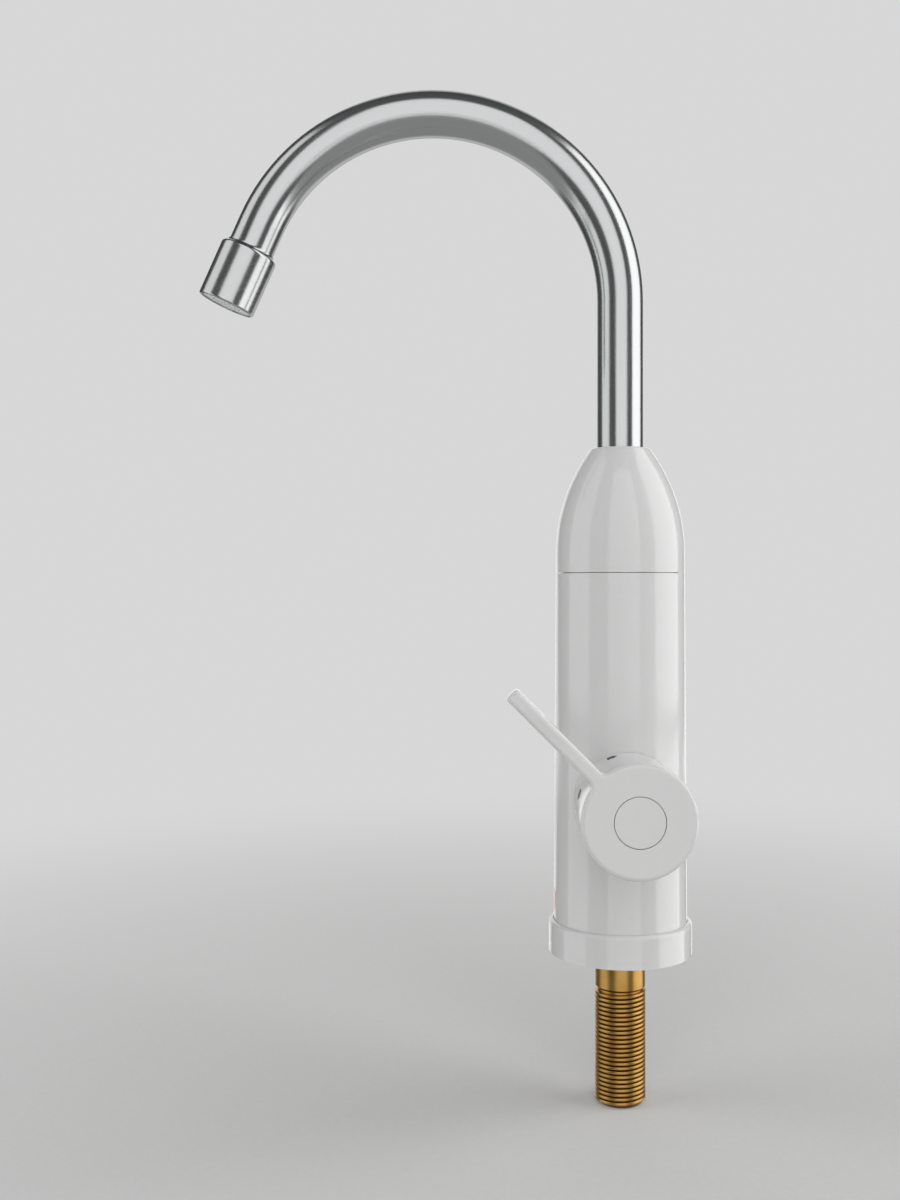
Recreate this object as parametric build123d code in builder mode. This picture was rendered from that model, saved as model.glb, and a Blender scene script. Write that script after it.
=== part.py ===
from build123d import *
import os
from math import cos, radians, sin, tan

# Electric instant water heater tap for a sink deck. Millimetres, +Z up.
# The origin is on the deck plane, on the axis of the threaded inlet shank.
# The spout points to -X and the handle to -Y.

os.makedirs("parts", exist_ok=True)

# Clearances
seat_gap = 0.10
run_gap = 0.08
free_gap = 0.30
housing_gap = 0.15
lapped_gap = 0.05
cut_over = 1.0
skim = 0.1
weld = 0.5

# Main housing
housing_low_r = 27.5
housing_top_r = 26.65
shell_t = 2.2
seam_w = 0.3
boss_in = 6.5
boss_r = 3.2
boss_h = 11.0
screw_core_r = 1.4
screw_way_r = 1.7

# Base: the foot stands out from the housing all round
foot_step = 2.0
base_h = 13.1
base_wall = 2.6
base_edge = 1.7
shelf_z = 4.6
shelf_t = 2.0
shelf_in = 11.0
plate_t = 2.5
seal_w = 2.4

# Top cover, as heights above the seam
cover_skirt = 7.75
cover_h = 51.5
cover_rim_w = 2.6
cone_angle = 33.6
cover_edge = 1.5
spigot_t = 2.0
spigot_l = 8.0

# Spout
tube_r = 9.5
tube_t = 1.2
tube_rise = 61.3
bend_r = 77.9
bend_sweep = 156.0
outlet_run = 20.6

# Aerator
aerator_r = 11.95
aerator_l = 23.7
aerator_lap = 8.0
aerator_flare = 2.3
aerator_neck_t = 0.3
aerator_waist = (1.05, 0.9)
aerator_shoulder = 0.55
insert_r = 10.8
insert_t = 1.5
insert_recess = 0.6
spray_hole_r = 0.55

# Inlet shank, G1/2 pipe thread
thread_r = 10.4775
thread_pitch = 1.814
thread_depth = 1.16
thread_low_z = -62.6
thread_high_z = -15.4
thread_root_w = 1.6
plain_r = 10.35
shank_bore_r = 5.5
shank_chamfer = 0.5
flange_r = 14.6
flange_t = 3.0
neck_r = 8.0
neck_l = 12.0
strainer_t = 1.2
strainer_h = 2.5
strainer_lip = 0.6

# Handle and its collar
handle_z = 64.5
handle_face = 64.8
disc_r = 21.7
disc_t = 10.0
disc_plate_t = 3.0
disc_wall = 2.2
disc_edge = 1.7
disc_gap = 0.5
lever_reach = 66.5
lever_w = 5.8
lever_t = 6.0
lever_angle = 135.0
lever_root = 2.6
lever_tip = 1.4
hub_r = 12.0
hub_lead = 7.5
cap_r = 9.45
cap_t = 2.2
cap_gap = 0.25
cap_edge = 0.15
cap_plug_l = 1.8
cap_plug_t = 1.2
screw_deep = 5.2
pan_r = 3.5
pan_h = 2.4
cross_l = 4.2
cross_w = 0.9
cross_t = 1.3
collar_r = 20.9
collar_t = 2.6
collar_back = 5.0
collar_edge = 0.6

# Valve and cartridge, as depths towards the handle from the body's axis
valve_r = 15.0
valve_back = 11.0
valve_front = 34.0
valve_foot_r = 11.0
chamber_back = 8.0
cartridge_r = 12.5
cartridge_wall = 2.0
cartridge_l = 19.0
neck_front = 38.0
cartridge_neck_r = 8.0
cartridge_seal_t = 1.5
ceramic_t = 3.0
spindle_r = 5.0
square_w = 7.0
square_depth = 9.3
web_t = 2.0
nut_flange_t = 3.0
nut_flange_r = 16.5
port_r = 2.2
port_step = 4.5
inlet_port_r = 3.0
riser_r = 2.5
cold_x = 18.0
hot_x = -7.0
outlet_rise = 18.5
outlet_socket = 6.0
cold_post_r = 4.2
hot_post_r = 5.0

# Flow switch and microswitch
heater_x = -3.4
switch_r = 17.0
switch_body_h = 9.0
switch_cover_h = 7.0
switch_cavity_r = 10.0
diaphragm_t = 1.0
pusher_head_r = 7.0
pusher_head_t = 1.5
pusher_stem_r = 1.6
pusher_travel = 1.5
micro_l = 20.0
micro_w = 6.4
micro_h = 10.0
micro_gap = 3.5
button_r = 1.2
outlet_y = -12.4
hose_bore_r = 2.7
hose_t = 1.6
stub_l = 6.0

# Heater vessel and element
vessel_r = 16.0
vessel_wall = 1.8
vessel_gap = 2.5
vessel_floor = 3.0
vessel_cup_h = 28.0
vessel_lid_h = 18.0
lid_roof = 2.5
vessel_flange_t = 3.0
ear_out = 2.6
ear_inset = 0.6
ear_r = 3.0
element_r = 2.75
element_dx = 6.0
element_dy = 7.5
element_tail = 6.0
element_bend = 5.5
pin_r = 1.2
pin_l = 5.0
bush_r = 3.5
cutout_r = 7.0
cutout_rise = 12.5
cutout_ear_l = 24.0
cutout_ear_w = 6.0
cutout_screw_rise = 9.5
cutout_blade_l = 8.0

# Spout socket
socket_base_h = 9.0
socket_bore_h = 28.0
socket_wall = 2.2
seam_drop = 4.7
foot_lift = 2.0
sleeve_r = 11.5
post_in = 6.85
post_r = 3.2
cold_pipe_r = 3.0
nozzle_r = 5.5
nozzle_l = 6.0
nozzle_bore_r = 3.0

# Electrical parts
gland_z = 22.0
cord_r = 4.3
lens_z = 21.5
lens_r = 5.0
lens_rim_w = 1.2
lens_rim_t = 2.2
lens_pocket = 3.4
lamp_r = 2.5
lamp_l = 3.6
lamp_flange_t = 1.2
wire_r = 1.2
lead_r = 0.8
bracket_y = 13.0
bracket_t = 1.2
block_z = 33.0
block_w = 20.0
block_d = 8.0
block_h = 14.0
pole_pitch = 6.0

# Derived levels, stacked up from the deck
plate_low_z = shelf_z + shelf_t
plate_top_z = plate_low_z + plate_t
flange_top_z = plate_top_z + flange_t
neck_top_z = flange_top_z + neck_l
outlet_top_z = handle_z + outlet_rise
switch_split_z = outlet_top_z + switch_body_h
switch_top_z = switch_split_z + switch_cover_h
micro_low_z = switch_top_z + micro_gap
micro_top_z = micro_low_z + micro_h
vessel_low_z = micro_top_z + vessel_gap
vessel_split_z = vessel_low_z + vessel_cup_h
vessel_top_z = vessel_split_z + vessel_lid_h
element_low_z = vessel_low_z - element_tail
cutout_z = vessel_low_z + cutout_rise
socket_low_z = vessel_top_z
socket_deck_z = socket_low_z + socket_base_h
socket_top_z = socket_deck_z + socket_bore_h
tube_foot_z = socket_deck_z + foot_lift
seam_z = socket_low_z - seam_drop
cover_arc_z = seam_z + cover_skirt
cover_top_z = seam_z + cover_h
bend_z = cover_top_z + tube_rise

# Derived radii and depths
base_r = housing_low_r + foot_step
base_screw_circle = housing_low_r - boss_in
shelf_wall_r = base_r - base_wall
shelf_bore_r = housing_low_r - shelf_in
collar_front = handle_face - disc_t - disc_gap
hub_back = neck_front + hub_lead
square_front = handle_face - square_depth
ear_circle = vessel_r + ear_out
vessel_flange_r = ear_circle - ear_inset
socket_r = sleeve_r + seat_gap + socket_wall
post_circle = housing_top_r - shell_t - post_in

# The cover's outline: an arc that leaves the wall upright and ends on a cone,
# which meets the rim round the spout
cover_top_r = tube_r + free_gap + cover_rim_w
cover_drop = cover_top_z - cover_arc_z
cover_draw = housing_top_r - cover_top_r
cone_sin = sin(radians(cone_angle))
cone_cos = cos(radians(cone_angle))
cover_arc_r = (cover_drop * cone_sin - cover_draw * cone_cos) / (1 - cone_cos)


def housing_radius(z):
    share = (z - base_h) / (seam_z - base_h)
    return housing_low_r + (housing_top_r - housing_low_r) * share


def spots_round(circle, angles, centre_x=0):
    """Places on a circle about an upright axis."""
    spots = []
    for angle in angles:
        spot = Vector(circle, 0).rotate(Axis.Z, angle)
        spots.append((centre_x + spot.X, spot.Y))
    return spots


# The handle's profiles are drawn with x as radius and y as depth to the front
handle_axis = Axis((0, 0, handle_z), (0, -1, 0))
depth_plane = Plane(origin=(0, 0, handle_z), x_dir=(1, 0, 0), z_dir=(0, 0, -1))


def front_plane(depth):
    return Plane.XZ.offset(depth)


def turned(points, plane=Plane.XZ, axis=Axis.Z):
    """A solid turned from a closed outline of radius and height."""
    with BuildPart() as body:
        with BuildSketch(plane):
            with BuildLine():
                Polyline(*points, close=True)
            make_face()
        revolve(axis=axis)
    return body.part


def tube(r_out, r_in, low, high):
    return turned([(r_in, low), (r_out, low), (r_out, high), (r_in, high)])


def shaft(r_out, r_in, back, front):
    outline = [(r_in, back), (r_out, back), (r_out, front), (r_in, front)]
    return turned(outline, depth_plane, handle_axis)


def o_ring(mean_r, section_r, z):
    with BuildPart() as ring:
        with BuildSketch(Plane.XZ):
            with Locations((mean_r, z)):
                Circle(section_r)
        revolve(axis=Axis.Z)
    return ring.part


# Solid of the housing's outer surface, used to trim what meets it
housing_low_z = plate_top_z


def housing_form(growth):
    r_low = housing_radius(housing_low_z) + growth
    r_high = housing_radius(seam_z) + growth
    return turned([(0, housing_low_z), (r_low, housing_low_z), (r_high, seam_z), (0, seam_z)])


# Base ring: a moulded foot with a shelf that carries the steel plate
rebate_r = housing_low_r + housing_gap
base_screw_angles = (30, 150, 270)
base_screw_spots = spots_round(base_screw_circle, base_screw_angles)
with BuildPart() as base_ring:
    with BuildSketch(Plane.XZ):
        with BuildLine():
            Polyline(
                (shelf_wall_r, 0),
                (base_r, 0),
                (base_r, base_h),
                (rebate_r, base_h),
                (rebate_r, plate_low_z),
                (shelf_bore_r, plate_low_z),
                (shelf_bore_r, shelf_z),
                (shelf_wall_r, shelf_z),
                close=True,
            )
        make_face()
    revolve(axis=Axis.Z)
    top_rims = base_ring.edges().filter_by(GeomType.CIRCLE).group_by(Axis.Z)[-1]
    fillet(top_rims.sort_by(SortBy.RADIUS)[-1], radius=base_edge)
    with BuildSketch(Plane.XY.offset(shelf_z)):
        with Locations(*base_screw_spots):
            Circle(screw_way_r)
    extrude(amount=shelf_t, mode=Mode.SUBTRACT)
base_ring.part.label = "base_ring"
export_step(base_ring.part, "parts/base_ring.step")

# Base plate: steel disc that the shank's flange pulls down on the shelf
with BuildPart() as base_plate:
    with BuildSketch(Plane.XY.offset(plate_low_z)):
        Circle(housing_low_r)
        Circle(plain_r + seat_gap, mode=Mode.SUBTRACT)
        with Locations(*base_screw_spots):
            Circle(screw_way_r, mode=Mode.SUBTRACT)
    extrude(amount=plate_t)
base_plate.part.label = "base_plate"
export_step(base_plate.part, "parts/base_plate.step")

# Base seal: rubber ring under the shelf, flush with the foot
with BuildPart() as base_seal:
    with BuildSketch(Plane.XY):
        Circle(shelf_wall_r - seat_gap)
        Circle(shelf_wall_r - seat_gap - seal_w, mode=Mode.SUBTRACT)
    extrude(amount=shelf_z)
base_seal.part.label = "base_seal"
export_step(base_seal.part, "parts/base_seal.step")

# Base screws: three self-tapping screws up into the housing's bosses
base_screw_l = 10.0
screw_head_r = 2.6
screw_head_t = 2.0
socket_key_r = 1.2
socket_key_floor = 0.8
with BuildPart() as base_screws:
    for place in base_screw_spots:
        with BuildSketch(Plane.XY.offset(shelf_z)):
            with Locations(place):
                Circle(screw_head_r)
                RegularPolygon(radius=socket_key_r, side_count=6, mode=Mode.SUBTRACT)
        extrude(amount=-screw_head_t)
        with BuildSketch(Plane.XY.offset(shelf_z - socket_key_floor)):
            with Locations(place):
                Circle(screw_core_r)
        extrude(amount=base_screw_l + socket_key_floor)
base_screws.part.label = "base_screws"
export_step(base_screws.part, "parts/base_screws.step")

# Inlet shank: turned brass with a helical thread below and a hexagon flange
core_r = thread_r - thread_depth
core_chamfer = 0.6
thread_start_z = thread_low_z + 0.8
thread_sunk = 0.15
thread_run = thread_high_z - thread_low_z - thread_pitch
land = ((1.0, 0.15), (0.88, 0.31), (0.65, 0.41))
with BuildPart() as shank_blank:
    add(
        turned(
            [
                (0, thread_low_z),
                (core_r - core_chamfer, thread_low_z),
                (core_r, thread_start_z),
                (core_r, thread_high_z),
                (plain_r, thread_high_z + plain_r - core_r),
                (plain_r, plate_top_z),
                (0, plate_top_z),
            ]
        )
    )
with BuildPart() as thread_ridge:
    with BuildLine() as thread_path:
        Helix(thread_pitch, thread_run, core_r, (0, 0, thread_start_z))
    start = thread_path.line @ 0
    ridge_plane = Plane(origin=start, x_dir=(1, 0, 0), z_dir=thread_path.line % 0)
    ridge_side = [(-thread_sunk, thread_root_w / 2)]
    for height, half_width in reversed(land):
        ridge_side.append((thread_depth * height, thread_root_w * half_width))
    ridge_outline = [(x, -y) for x, y in ridge_side] + ridge_side[::-1]
    with BuildSketch(ridge_plane):
        with BuildLine():
            Polyline(*ridge_outline, close=True)
        make_face()
    sweep(is_frenet=True)
neck_groove_r = neck_r - 1.4
neck_groove_z = flange_top_z + 5.0
neck_groove_w = 2.0
with BuildPart() as inlet_shank:
    add(shank_blank.part)
    add(thread_ridge.part)
    add(
        turned(
            [
                (core_r - core_chamfer, thread_low_z - cut_over),
                (thread_r + cut_over, thread_low_z - cut_over),
                (thread_r + cut_over, thread_low_z + shank_chamfer + cut_over),
                (core_r - core_chamfer, thread_low_z),
            ]
        ),
        mode=Mode.SUBTRACT,
    )
    with BuildSketch(Plane.XY.offset(plate_top_z)):
        RegularPolygon(radius=flange_r, side_count=6)
    extrude(amount=flange_t)
    with BuildSketch(Plane.XY.offset(flange_top_z)):
        Circle(neck_r)
    extrude(amount=neck_l)
    groove = tube(neck_r + skim, neck_groove_r, neck_groove_z, neck_groove_z + neck_groove_w)
    add(groove, mode=Mode.SUBTRACT)
    with BuildSketch(Plane.XY.offset(thread_low_z)):
        Circle(shank_bore_r)
    extrude(amount=neck_top_z - thread_low_z, mode=Mode.SUBTRACT)
    with BuildSketch(Plane.XY.offset(neck_top_z)):
        Circle(shank_bore_r + strainer_lip + seat_gap)
    extrude(amount=-strainer_h, mode=Mode.SUBTRACT)
inlet_shank.part.label = "inlet_shank"
export_step(inlet_shank.part, "parts/inlet_shank.step")

# Shank O-ring: seals the shank's neck in the valve body
neck_ring_r = 0.7
neck_ring_mean_r = neck_groove_r + neck_ring_r + lapped_gap
shank_o_ring = o_ring(neck_ring_mean_r, neck_ring_r, neck_groove_z + neck_groove_w / 2)
shank_o_ring.label = "shank_o_ring"
export_step(shank_o_ring, "parts/shank_o_ring.step")

# Inlet strainer: perforated steel disc in the mouth of the shank's neck
mesh_hole_r = 0.5
mesh_pitch = 1.9
with BuildPart() as inlet_strainer:
    with BuildSketch(Plane.XY.offset(neck_top_z)):
        Circle(shank_bore_r + strainer_lip)
        Circle(mesh_hole_r, mode=Mode.SUBTRACT)
        for ring in (1, 2):
            with PolarLocations(ring * mesh_pitch, ring * 6):
                Circle(mesh_hole_r, mode=Mode.SUBTRACT)
    extrude(amount=-strainer_t)
    with BuildSketch(Plane.XY.offset(neck_top_z - strainer_t)):
        Circle(shank_bore_r + strainer_lip)
        Circle(shank_bore_r, mode=Mode.SUBTRACT)
    extrude(amount=strainer_t - strainer_h)
inlet_strainer.part.label = "inlet_strainer"
export_step(inlet_strainer.part, "parts/inlet_strainer.step")

# Main housing: tapered tube with bosses for the base screws
wire_way_r = 6.1
rib_w = 2.4
rib_l = 4.0
rib_out = 2.8
boss_roof = 2.0
with BuildPart() as main_housing:
    housing_top_z = seam_z - seam_w / 2
    add(
        turned(
            [
                (housing_radius(housing_low_z) - shell_t, housing_low_z),
                (housing_radius(housing_low_z), housing_low_z),
                (housing_radius(housing_top_z), housing_top_z),
                (housing_radius(housing_top_z) - shell_t, housing_top_z),
            ]
        )
    )
    for angle in base_screw_angles:
        place = Vector(base_screw_circle, 0).rotate(Axis.Z, angle)
        rib = Vector(base_screw_circle + rib_out, 0).rotate(Axis.Z, angle)
        with BuildSketch(Plane.XY.offset(housing_low_z)):
            with Locations(place):
                Circle(boss_r)
            with Locations(Location((rib.X, rib.Y, 0), (0, 0, angle))):
                Rectangle(rib_l, rib_w)
        extrude(amount=boss_h)
        with BuildSketch(Plane.XY.offset(housing_low_z)):
            with Locations(place):
                Circle(screw_core_r + lapped_gap)
        extrude(amount=boss_h - boss_roof, mode=Mode.SUBTRACT)
    with BuildSketch(front_plane(0)):
        with Locations((0, handle_z)):
            Circle(valve_r + free_gap)
    extrude(amount=base_r, mode=Mode.SUBTRACT)
    with BuildSketch(front_plane(0)):
        with Locations((0, gland_z)):
            Circle(wire_way_r)
    extrude(amount=-base_r, mode=Mode.SUBTRACT)
    with BuildSketch(Plane.YZ):
        with Locations((0, lens_z)):
            Circle(lens_r + seat_gap)
    extrude(amount=-base_r, mode=Mode.SUBTRACT)
main_housing.part.label = "main_housing"
export_step(main_housing.part, "parts/main_housing.step")

# Indicator lens: red window moulded flush with the housing, with a rim behind
lens_rim_r = lens_r + lens_rim_w
lens_wall_x = housing_radius(lens_z) - shell_t
rim_front_x = lens_wall_x - 1.0
rim_back_x = rim_front_x - lens_rim_t
with BuildPart() as indicator_lens:
    with BuildSketch(Plane.YZ):
        with Locations((0, lens_z)):
            Circle(lens_r)
    extrude(amount=-base_r)
    add(housing_form(0), mode=Mode.INTERSECT)
    with BuildSketch(Plane.YZ):
        with Locations((0, lens_z)):
            Circle(lens_rim_r)
    extrude(amount=-rim_front_x)
    with BuildSketch(Plane.YZ):
        with Locations((0, lens_z)):
            Circle(lens_rim_r)
    extrude(amount=-rim_back_x, mode=Mode.SUBTRACT)
    with BuildSketch(Plane.YZ.offset(-rim_back_x)):
        with Locations((0, lens_z)):
            Circle(lamp_r + 5 * seat_gap)
    extrude(amount=-lens_pocket, mode=Mode.SUBTRACT)
indicator_lens.part.label = "indicator_lens"
export_step(indicator_lens.part, "parts/indicator_lens.step")

# Indicator lamp: 5 mm lamp pushed into the back of the lens
lamp_tip_x = -lens_wall_x - seat_gap
lamp_foot_x = lamp_tip_x + lamp_r + lamp_l
with BuildPart() as indicator_lamp:
    with BuildSketch(Plane.YZ.offset(lamp_tip_x + lamp_r)):
        with Locations((0, lens_z)):
            Circle(lamp_r)
    extrude(amount=lamp_l)
    with Locations((lamp_tip_x + lamp_r, 0, lens_z)):
        Sphere(lamp_r)
    with BuildSketch(Plane.YZ.offset(lamp_foot_x)):
        with Locations((0, lens_z)):
            Circle(lamp_r + 1.1)
    extrude(amount=lamp_flange_t)
indicator_lamp.part.label = "indicator_lamp"
export_step(indicator_lamp.part, "parts/indicator_lamp.step")

# Cord gland: rubber bush snapped into the rear wall, with the cord's bore
gland_r = 7.4
gland_out_y = 29.2
gland_in_y = 21.0
with BuildPart() as gland_slot:
    add(housing_form(seat_gap))
    add(housing_form(-shell_t - seat_gap), mode=Mode.SUBTRACT)
    with BuildSketch(front_plane(0)):
        with Locations((0, gland_z)):
            Circle(wire_way_r - seat_gap)
    extrude(amount=-base_r, mode=Mode.SUBTRACT)
with BuildPart() as cord_gland:
    with BuildSketch(front_plane(-gland_in_y)):
        with Locations((0, gland_z)):
            Circle(gland_r)
    extrude(amount=-(gland_out_y - gland_in_y))
    add(gland_slot.part, mode=Mode.SUBTRACT)
    with BuildSketch(front_plane(-gland_in_y)):
        with Locations((0, gland_z)):
            Circle(cord_r)
    extrude(amount=-(gland_out_y - gland_in_y), mode=Mode.SUBTRACT)
cord_gland.part.label = "cord_gland"
export_step(cord_gland.part, "parts/cord_gland.step")

# Valve body: brass casting on the shank's neck, with the cartridge chamber
chamber_r = cartridge_r + seat_gap
mouth_r = chamber_r + 0.6
cold_low_z = handle_z - 8.5
cold_arm_h = 14.0
cold_arm_w = 7.0
hot_post_low_z = handle_z + 6.0
inlet_way_r = 4.4
inlet_way_top_z = handle_z + 1.0
hot_spigot_r = 3.6
with BuildPart() as valve_body:
    add(tube(valve_foot_r, 0, flange_top_z, handle_z))
    add(shaft(valve_r, 0, -valve_back, valve_front))
    with BuildSketch(Plane.XY.offset(cold_low_z)):
        with Locations((cold_x, 0)):
            Circle(cold_post_r)
    extrude(amount=outlet_top_z - cold_low_z)
    with BuildSketch(Plane.XY.offset(cold_low_z)):
        with Locations(((valve_r + cold_x) / 2 - 1, 0)):
            Rectangle(cold_x - valve_r + 4, cold_arm_w)
    extrude(amount=cold_arm_h)
    with BuildSketch(Plane.XY.offset(hot_post_low_z)):
        with Locations((hot_x, 0)):
            Circle(hot_post_r)
    extrude(amount=outlet_top_z - hot_post_low_z)
    add(shaft(chamber_r, 0, chamber_back, valve_front), mode=Mode.SUBTRACT)
    add(shaft(mouth_r, 0, chamber_back + cartridge_l, valve_front), mode=Mode.SUBTRACT)
    add(tube(neck_r + seat_gap, 0, flange_top_z, neck_top_z), mode=Mode.SUBTRACT)
    add(tube(inlet_way_r, 0, neck_top_z, inlet_way_top_z), mode=Mode.SUBTRACT)
    with BuildSketch(front_plane(0)):
        with Locations((0, handle_z - inlet_port_r)):
            Circle(inlet_port_r)
    extrude(amount=chamber_back, mode=Mode.SUBTRACT)
    with BuildSketch(front_plane(0)):
        with Locations((-hot_x, handle_z - port_step), (hot_x, handle_z + port_step)):
            Circle(port_r)
    extrude(amount=chamber_back, mode=Mode.SUBTRACT)
    with BuildSketch(Plane.YZ.offset(-hot_x)):
        with Locations((0, handle_z - port_step)):
            Circle(port_r)
    extrude(amount=cold_x + hot_x, mode=Mode.SUBTRACT)
    risers = ((cold_x, handle_z - port_step), (hot_x, handle_z + port_step))
    for x, port_z in risers:
        low = port_z - riser_r
        with BuildSketch(Plane.XY.offset(low)):
            with Locations((x, 0)):
                Circle(riser_r)
        extrude(amount=outlet_top_z - low, mode=Mode.SUBTRACT)
    with BuildSketch(Plane.XY.offset(outlet_top_z)):
        with Locations((hot_x, 0)):
            Circle(hot_spigot_r)
        with Locations((cold_x, 0)):
            Circle(cold_pipe_r + seat_gap)
    extrude(amount=-outlet_socket, mode=Mode.SUBTRACT)
valve_body.part.label = "valve_body"
export_step(valve_body.part, "parts/valve_body.step")

# Cartridge seal: silicone plate behind the fixed ceramic disc
disc_slot_r = cartridge_r - cartridge_wall
seal_front = chamber_back + cartridge_seal_t
ports = (
    (0, -inlet_port_r, inlet_port_r),
    (-hot_x, -port_step, port_r),
    (hot_x, port_step, port_r),
)
with BuildPart() as cartridge_seal:
    add(shaft(disc_slot_r - seat_gap, 0, chamber_back, seal_front))
    for x, dz, r in ports:
        with BuildSketch(front_plane(chamber_back)):
            with Locations((x, handle_z + dz)):
                Circle(r)
        extrude(amount=cartridge_seal_t, mode=Mode.SUBTRACT)
cartridge_seal.part.label = "cartridge_seal"
export_step(cartridge_seal.part, "parts/cartridge_seal.step")

# Fixed ceramic disc: lapped plate with the three water ports
fixed_front = seal_front + ceramic_t
with BuildPart() as ceramic_disc_fixed:
    add(shaft(disc_slot_r - seat_gap, 0, seal_front, fixed_front))
    for x, dz, r in ports:
        with BuildSketch(front_plane(seal_front)):
            with Locations((x, handle_z + dz)):
                Circle(r)
        extrude(amount=ceramic_t, mode=Mode.SUBTRACT)
ceramic_disc_fixed.part.label = "ceramic_disc_fixed"
export_step(ceramic_disc_fixed.part, "parts/ceramic_disc_fixed.step")

# Moving ceramic disc: turns with the spindle and has a pocket that joins ports
moving_back = fixed_front + lapped_gap
moving_front = moving_back + ceramic_t
mixing_slot_l = 7.0
mixing_slot_w = 4.0
mixing_slot_t = 1.6
lug_out = 7.0
lug_w = 3.0
lug_h = 2.0
lug_l = 1.1
with BuildPart() as ceramic_disc_moving:
    add(shaft(disc_slot_r - free_gap, 0, moving_back, moving_front))
    with BuildSketch(front_plane(moving_back)):
        with Locations((0, handle_z - inlet_port_r / 2)):
            SlotOverall(mixing_slot_l, mixing_slot_w, rotation=90)
    extrude(amount=mixing_slot_t, mode=Mode.SUBTRACT)
    with BuildSketch(front_plane(moving_front)):
        with Locations((0, handle_z + lug_out), (0, handle_z - lug_out)):
            Rectangle(lug_w + 2 * seat_gap, lug_h + 2 * seat_gap)
    extrude(amount=-(lug_l + seat_gap), mode=Mode.SUBTRACT)
ceramic_disc_moving.part.label = "ceramic_disc_moving"
export_step(ceramic_disc_moving.part, "parts/ceramic_disc_moving.step")

# Cartridge housing: cup that holds the discs, with a neck for the spindle
carrier_t = 3.0
carrier_gap = 1.0
carrier_front = moving_front + carrier_t
cartridge_front = chamber_back + cartridge_l
spindle_bore_r = spindle_r + run_gap
with BuildPart() as cartridge_housing:
    add(
        turned(
            [
                (disc_slot_r, chamber_back),
                (cartridge_r, chamber_back),
                (cartridge_r, cartridge_front),
                (cartridge_neck_r, cartridge_front),
                (cartridge_neck_r, neck_front),
                (spindle_bore_r, neck_front),
                (spindle_bore_r, carrier_front + free_gap),
                (disc_slot_r, carrier_front + free_gap),
            ],
            depth_plane,
            handle_axis,
        )
    )
cartridge_housing.part.label = "cartridge_housing"
export_step(cartridge_housing.part, "parts/cartridge_housing.step")

# Cartridge spindle: carrier with two lugs, round stem and square drive
groove_w = 1.9
groove_r = spindle_r - 1.15
groove_backs = (carrier_front + 5.45, carrier_front + 9.45)
spindle_neck = neck_front - 2.0
screw_thread_r = 1.9
screw_thread_l = 9.5
with BuildPart() as cartridge_spindle:
    add(shaft(disc_slot_r - carrier_gap, 0, moving_front, carrier_front))
    with BuildSketch(front_plane(moving_front)):
        with Locations((0, handle_z + lug_out), (0, handle_z - lug_out)):
            Rectangle(lug_w, lug_h)
    extrude(amount=-lug_l)
    add(shaft(spindle_r, 0, carrier_front, spindle_neck))
    for back in groove_backs:
        add(shaft(spindle_r + skim, groove_r, back, back + groove_w), mode=Mode.SUBTRACT)
    with BuildSketch(front_plane(spindle_neck)):
        with Locations((0, handle_z)):
            Rectangle(square_w, square_w)
    extrude(amount=square_front - spindle_neck)
    with BuildSketch(front_plane(square_front)):
        with Locations((0, handle_z)):
            Circle(screw_thread_r + seat_gap)
    extrude(amount=-(screw_thread_l + 1.5), mode=Mode.SUBTRACT)
cartridge_spindle.part.label = "cartridge_spindle"
export_step(cartridge_spindle.part, "parts/cartridge_spindle.step")

# Spindle O-rings: two rubber rings in the stem's grooves
ring_section = 0.56
ring_lift = 0.02
with BuildPart() as spindle_o_rings:
    for back in groove_backs:
        with BuildSketch(depth_plane):
            with Locations((groove_r + ring_section + ring_lift, back + groove_w / 2)):
                Circle(ring_section)
        revolve(axis=handle_axis)
spindle_o_rings.part.label = "spindle_o_rings"
export_step(spindle_o_rings.part, "parts/spindle_o_rings.step")

# Valve collar: white boss, saddle-cut on the housing, with a clamped web
collar_bore_r = collar_r - collar_t
with BuildPart() as valve_collar:
    add(shaft(collar_r, collar_bore_r, collar_back, collar_front))
    add(shaft(collar_bore_r + weld, mouth_r + seat_gap, valve_front, valve_front + web_t))
    add(housing_form(housing_gap), mode=Mode.SUBTRACT)
    front_rims = valve_collar.edges().filter_by(GeomType.CIRCLE).group_by(Axis.Y)[0]
    fillet(front_rims.sort_by(SortBy.RADIUS)[-1], radius=collar_edge)
valve_collar.part.label = "valve_collar"
export_step(valve_collar.part, "parts/valve_collar.step")

# Cartridge nut: brass ring that clamps the cartridge and the collar's web
with BuildPart() as cartridge_nut:
    add(shaft(mouth_r - seat_gap, cartridge_neck_r + seat_gap, cartridge_front, valve_front + web_t))
    with BuildSketch(front_plane(valve_front + web_t)):
        with Locations((0, handle_z)):
            RegularPolygon(radius=nut_flange_r, side_count=6)
            Circle(cartridge_neck_r + seat_gap, mode=Mode.SUBTRACT)
    extrude(amount=nut_flange_t)
cartridge_nut.part.label = "cartridge_nut"
export_step(cartridge_nut.part, "parts/cartridge_nut.step")

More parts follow.
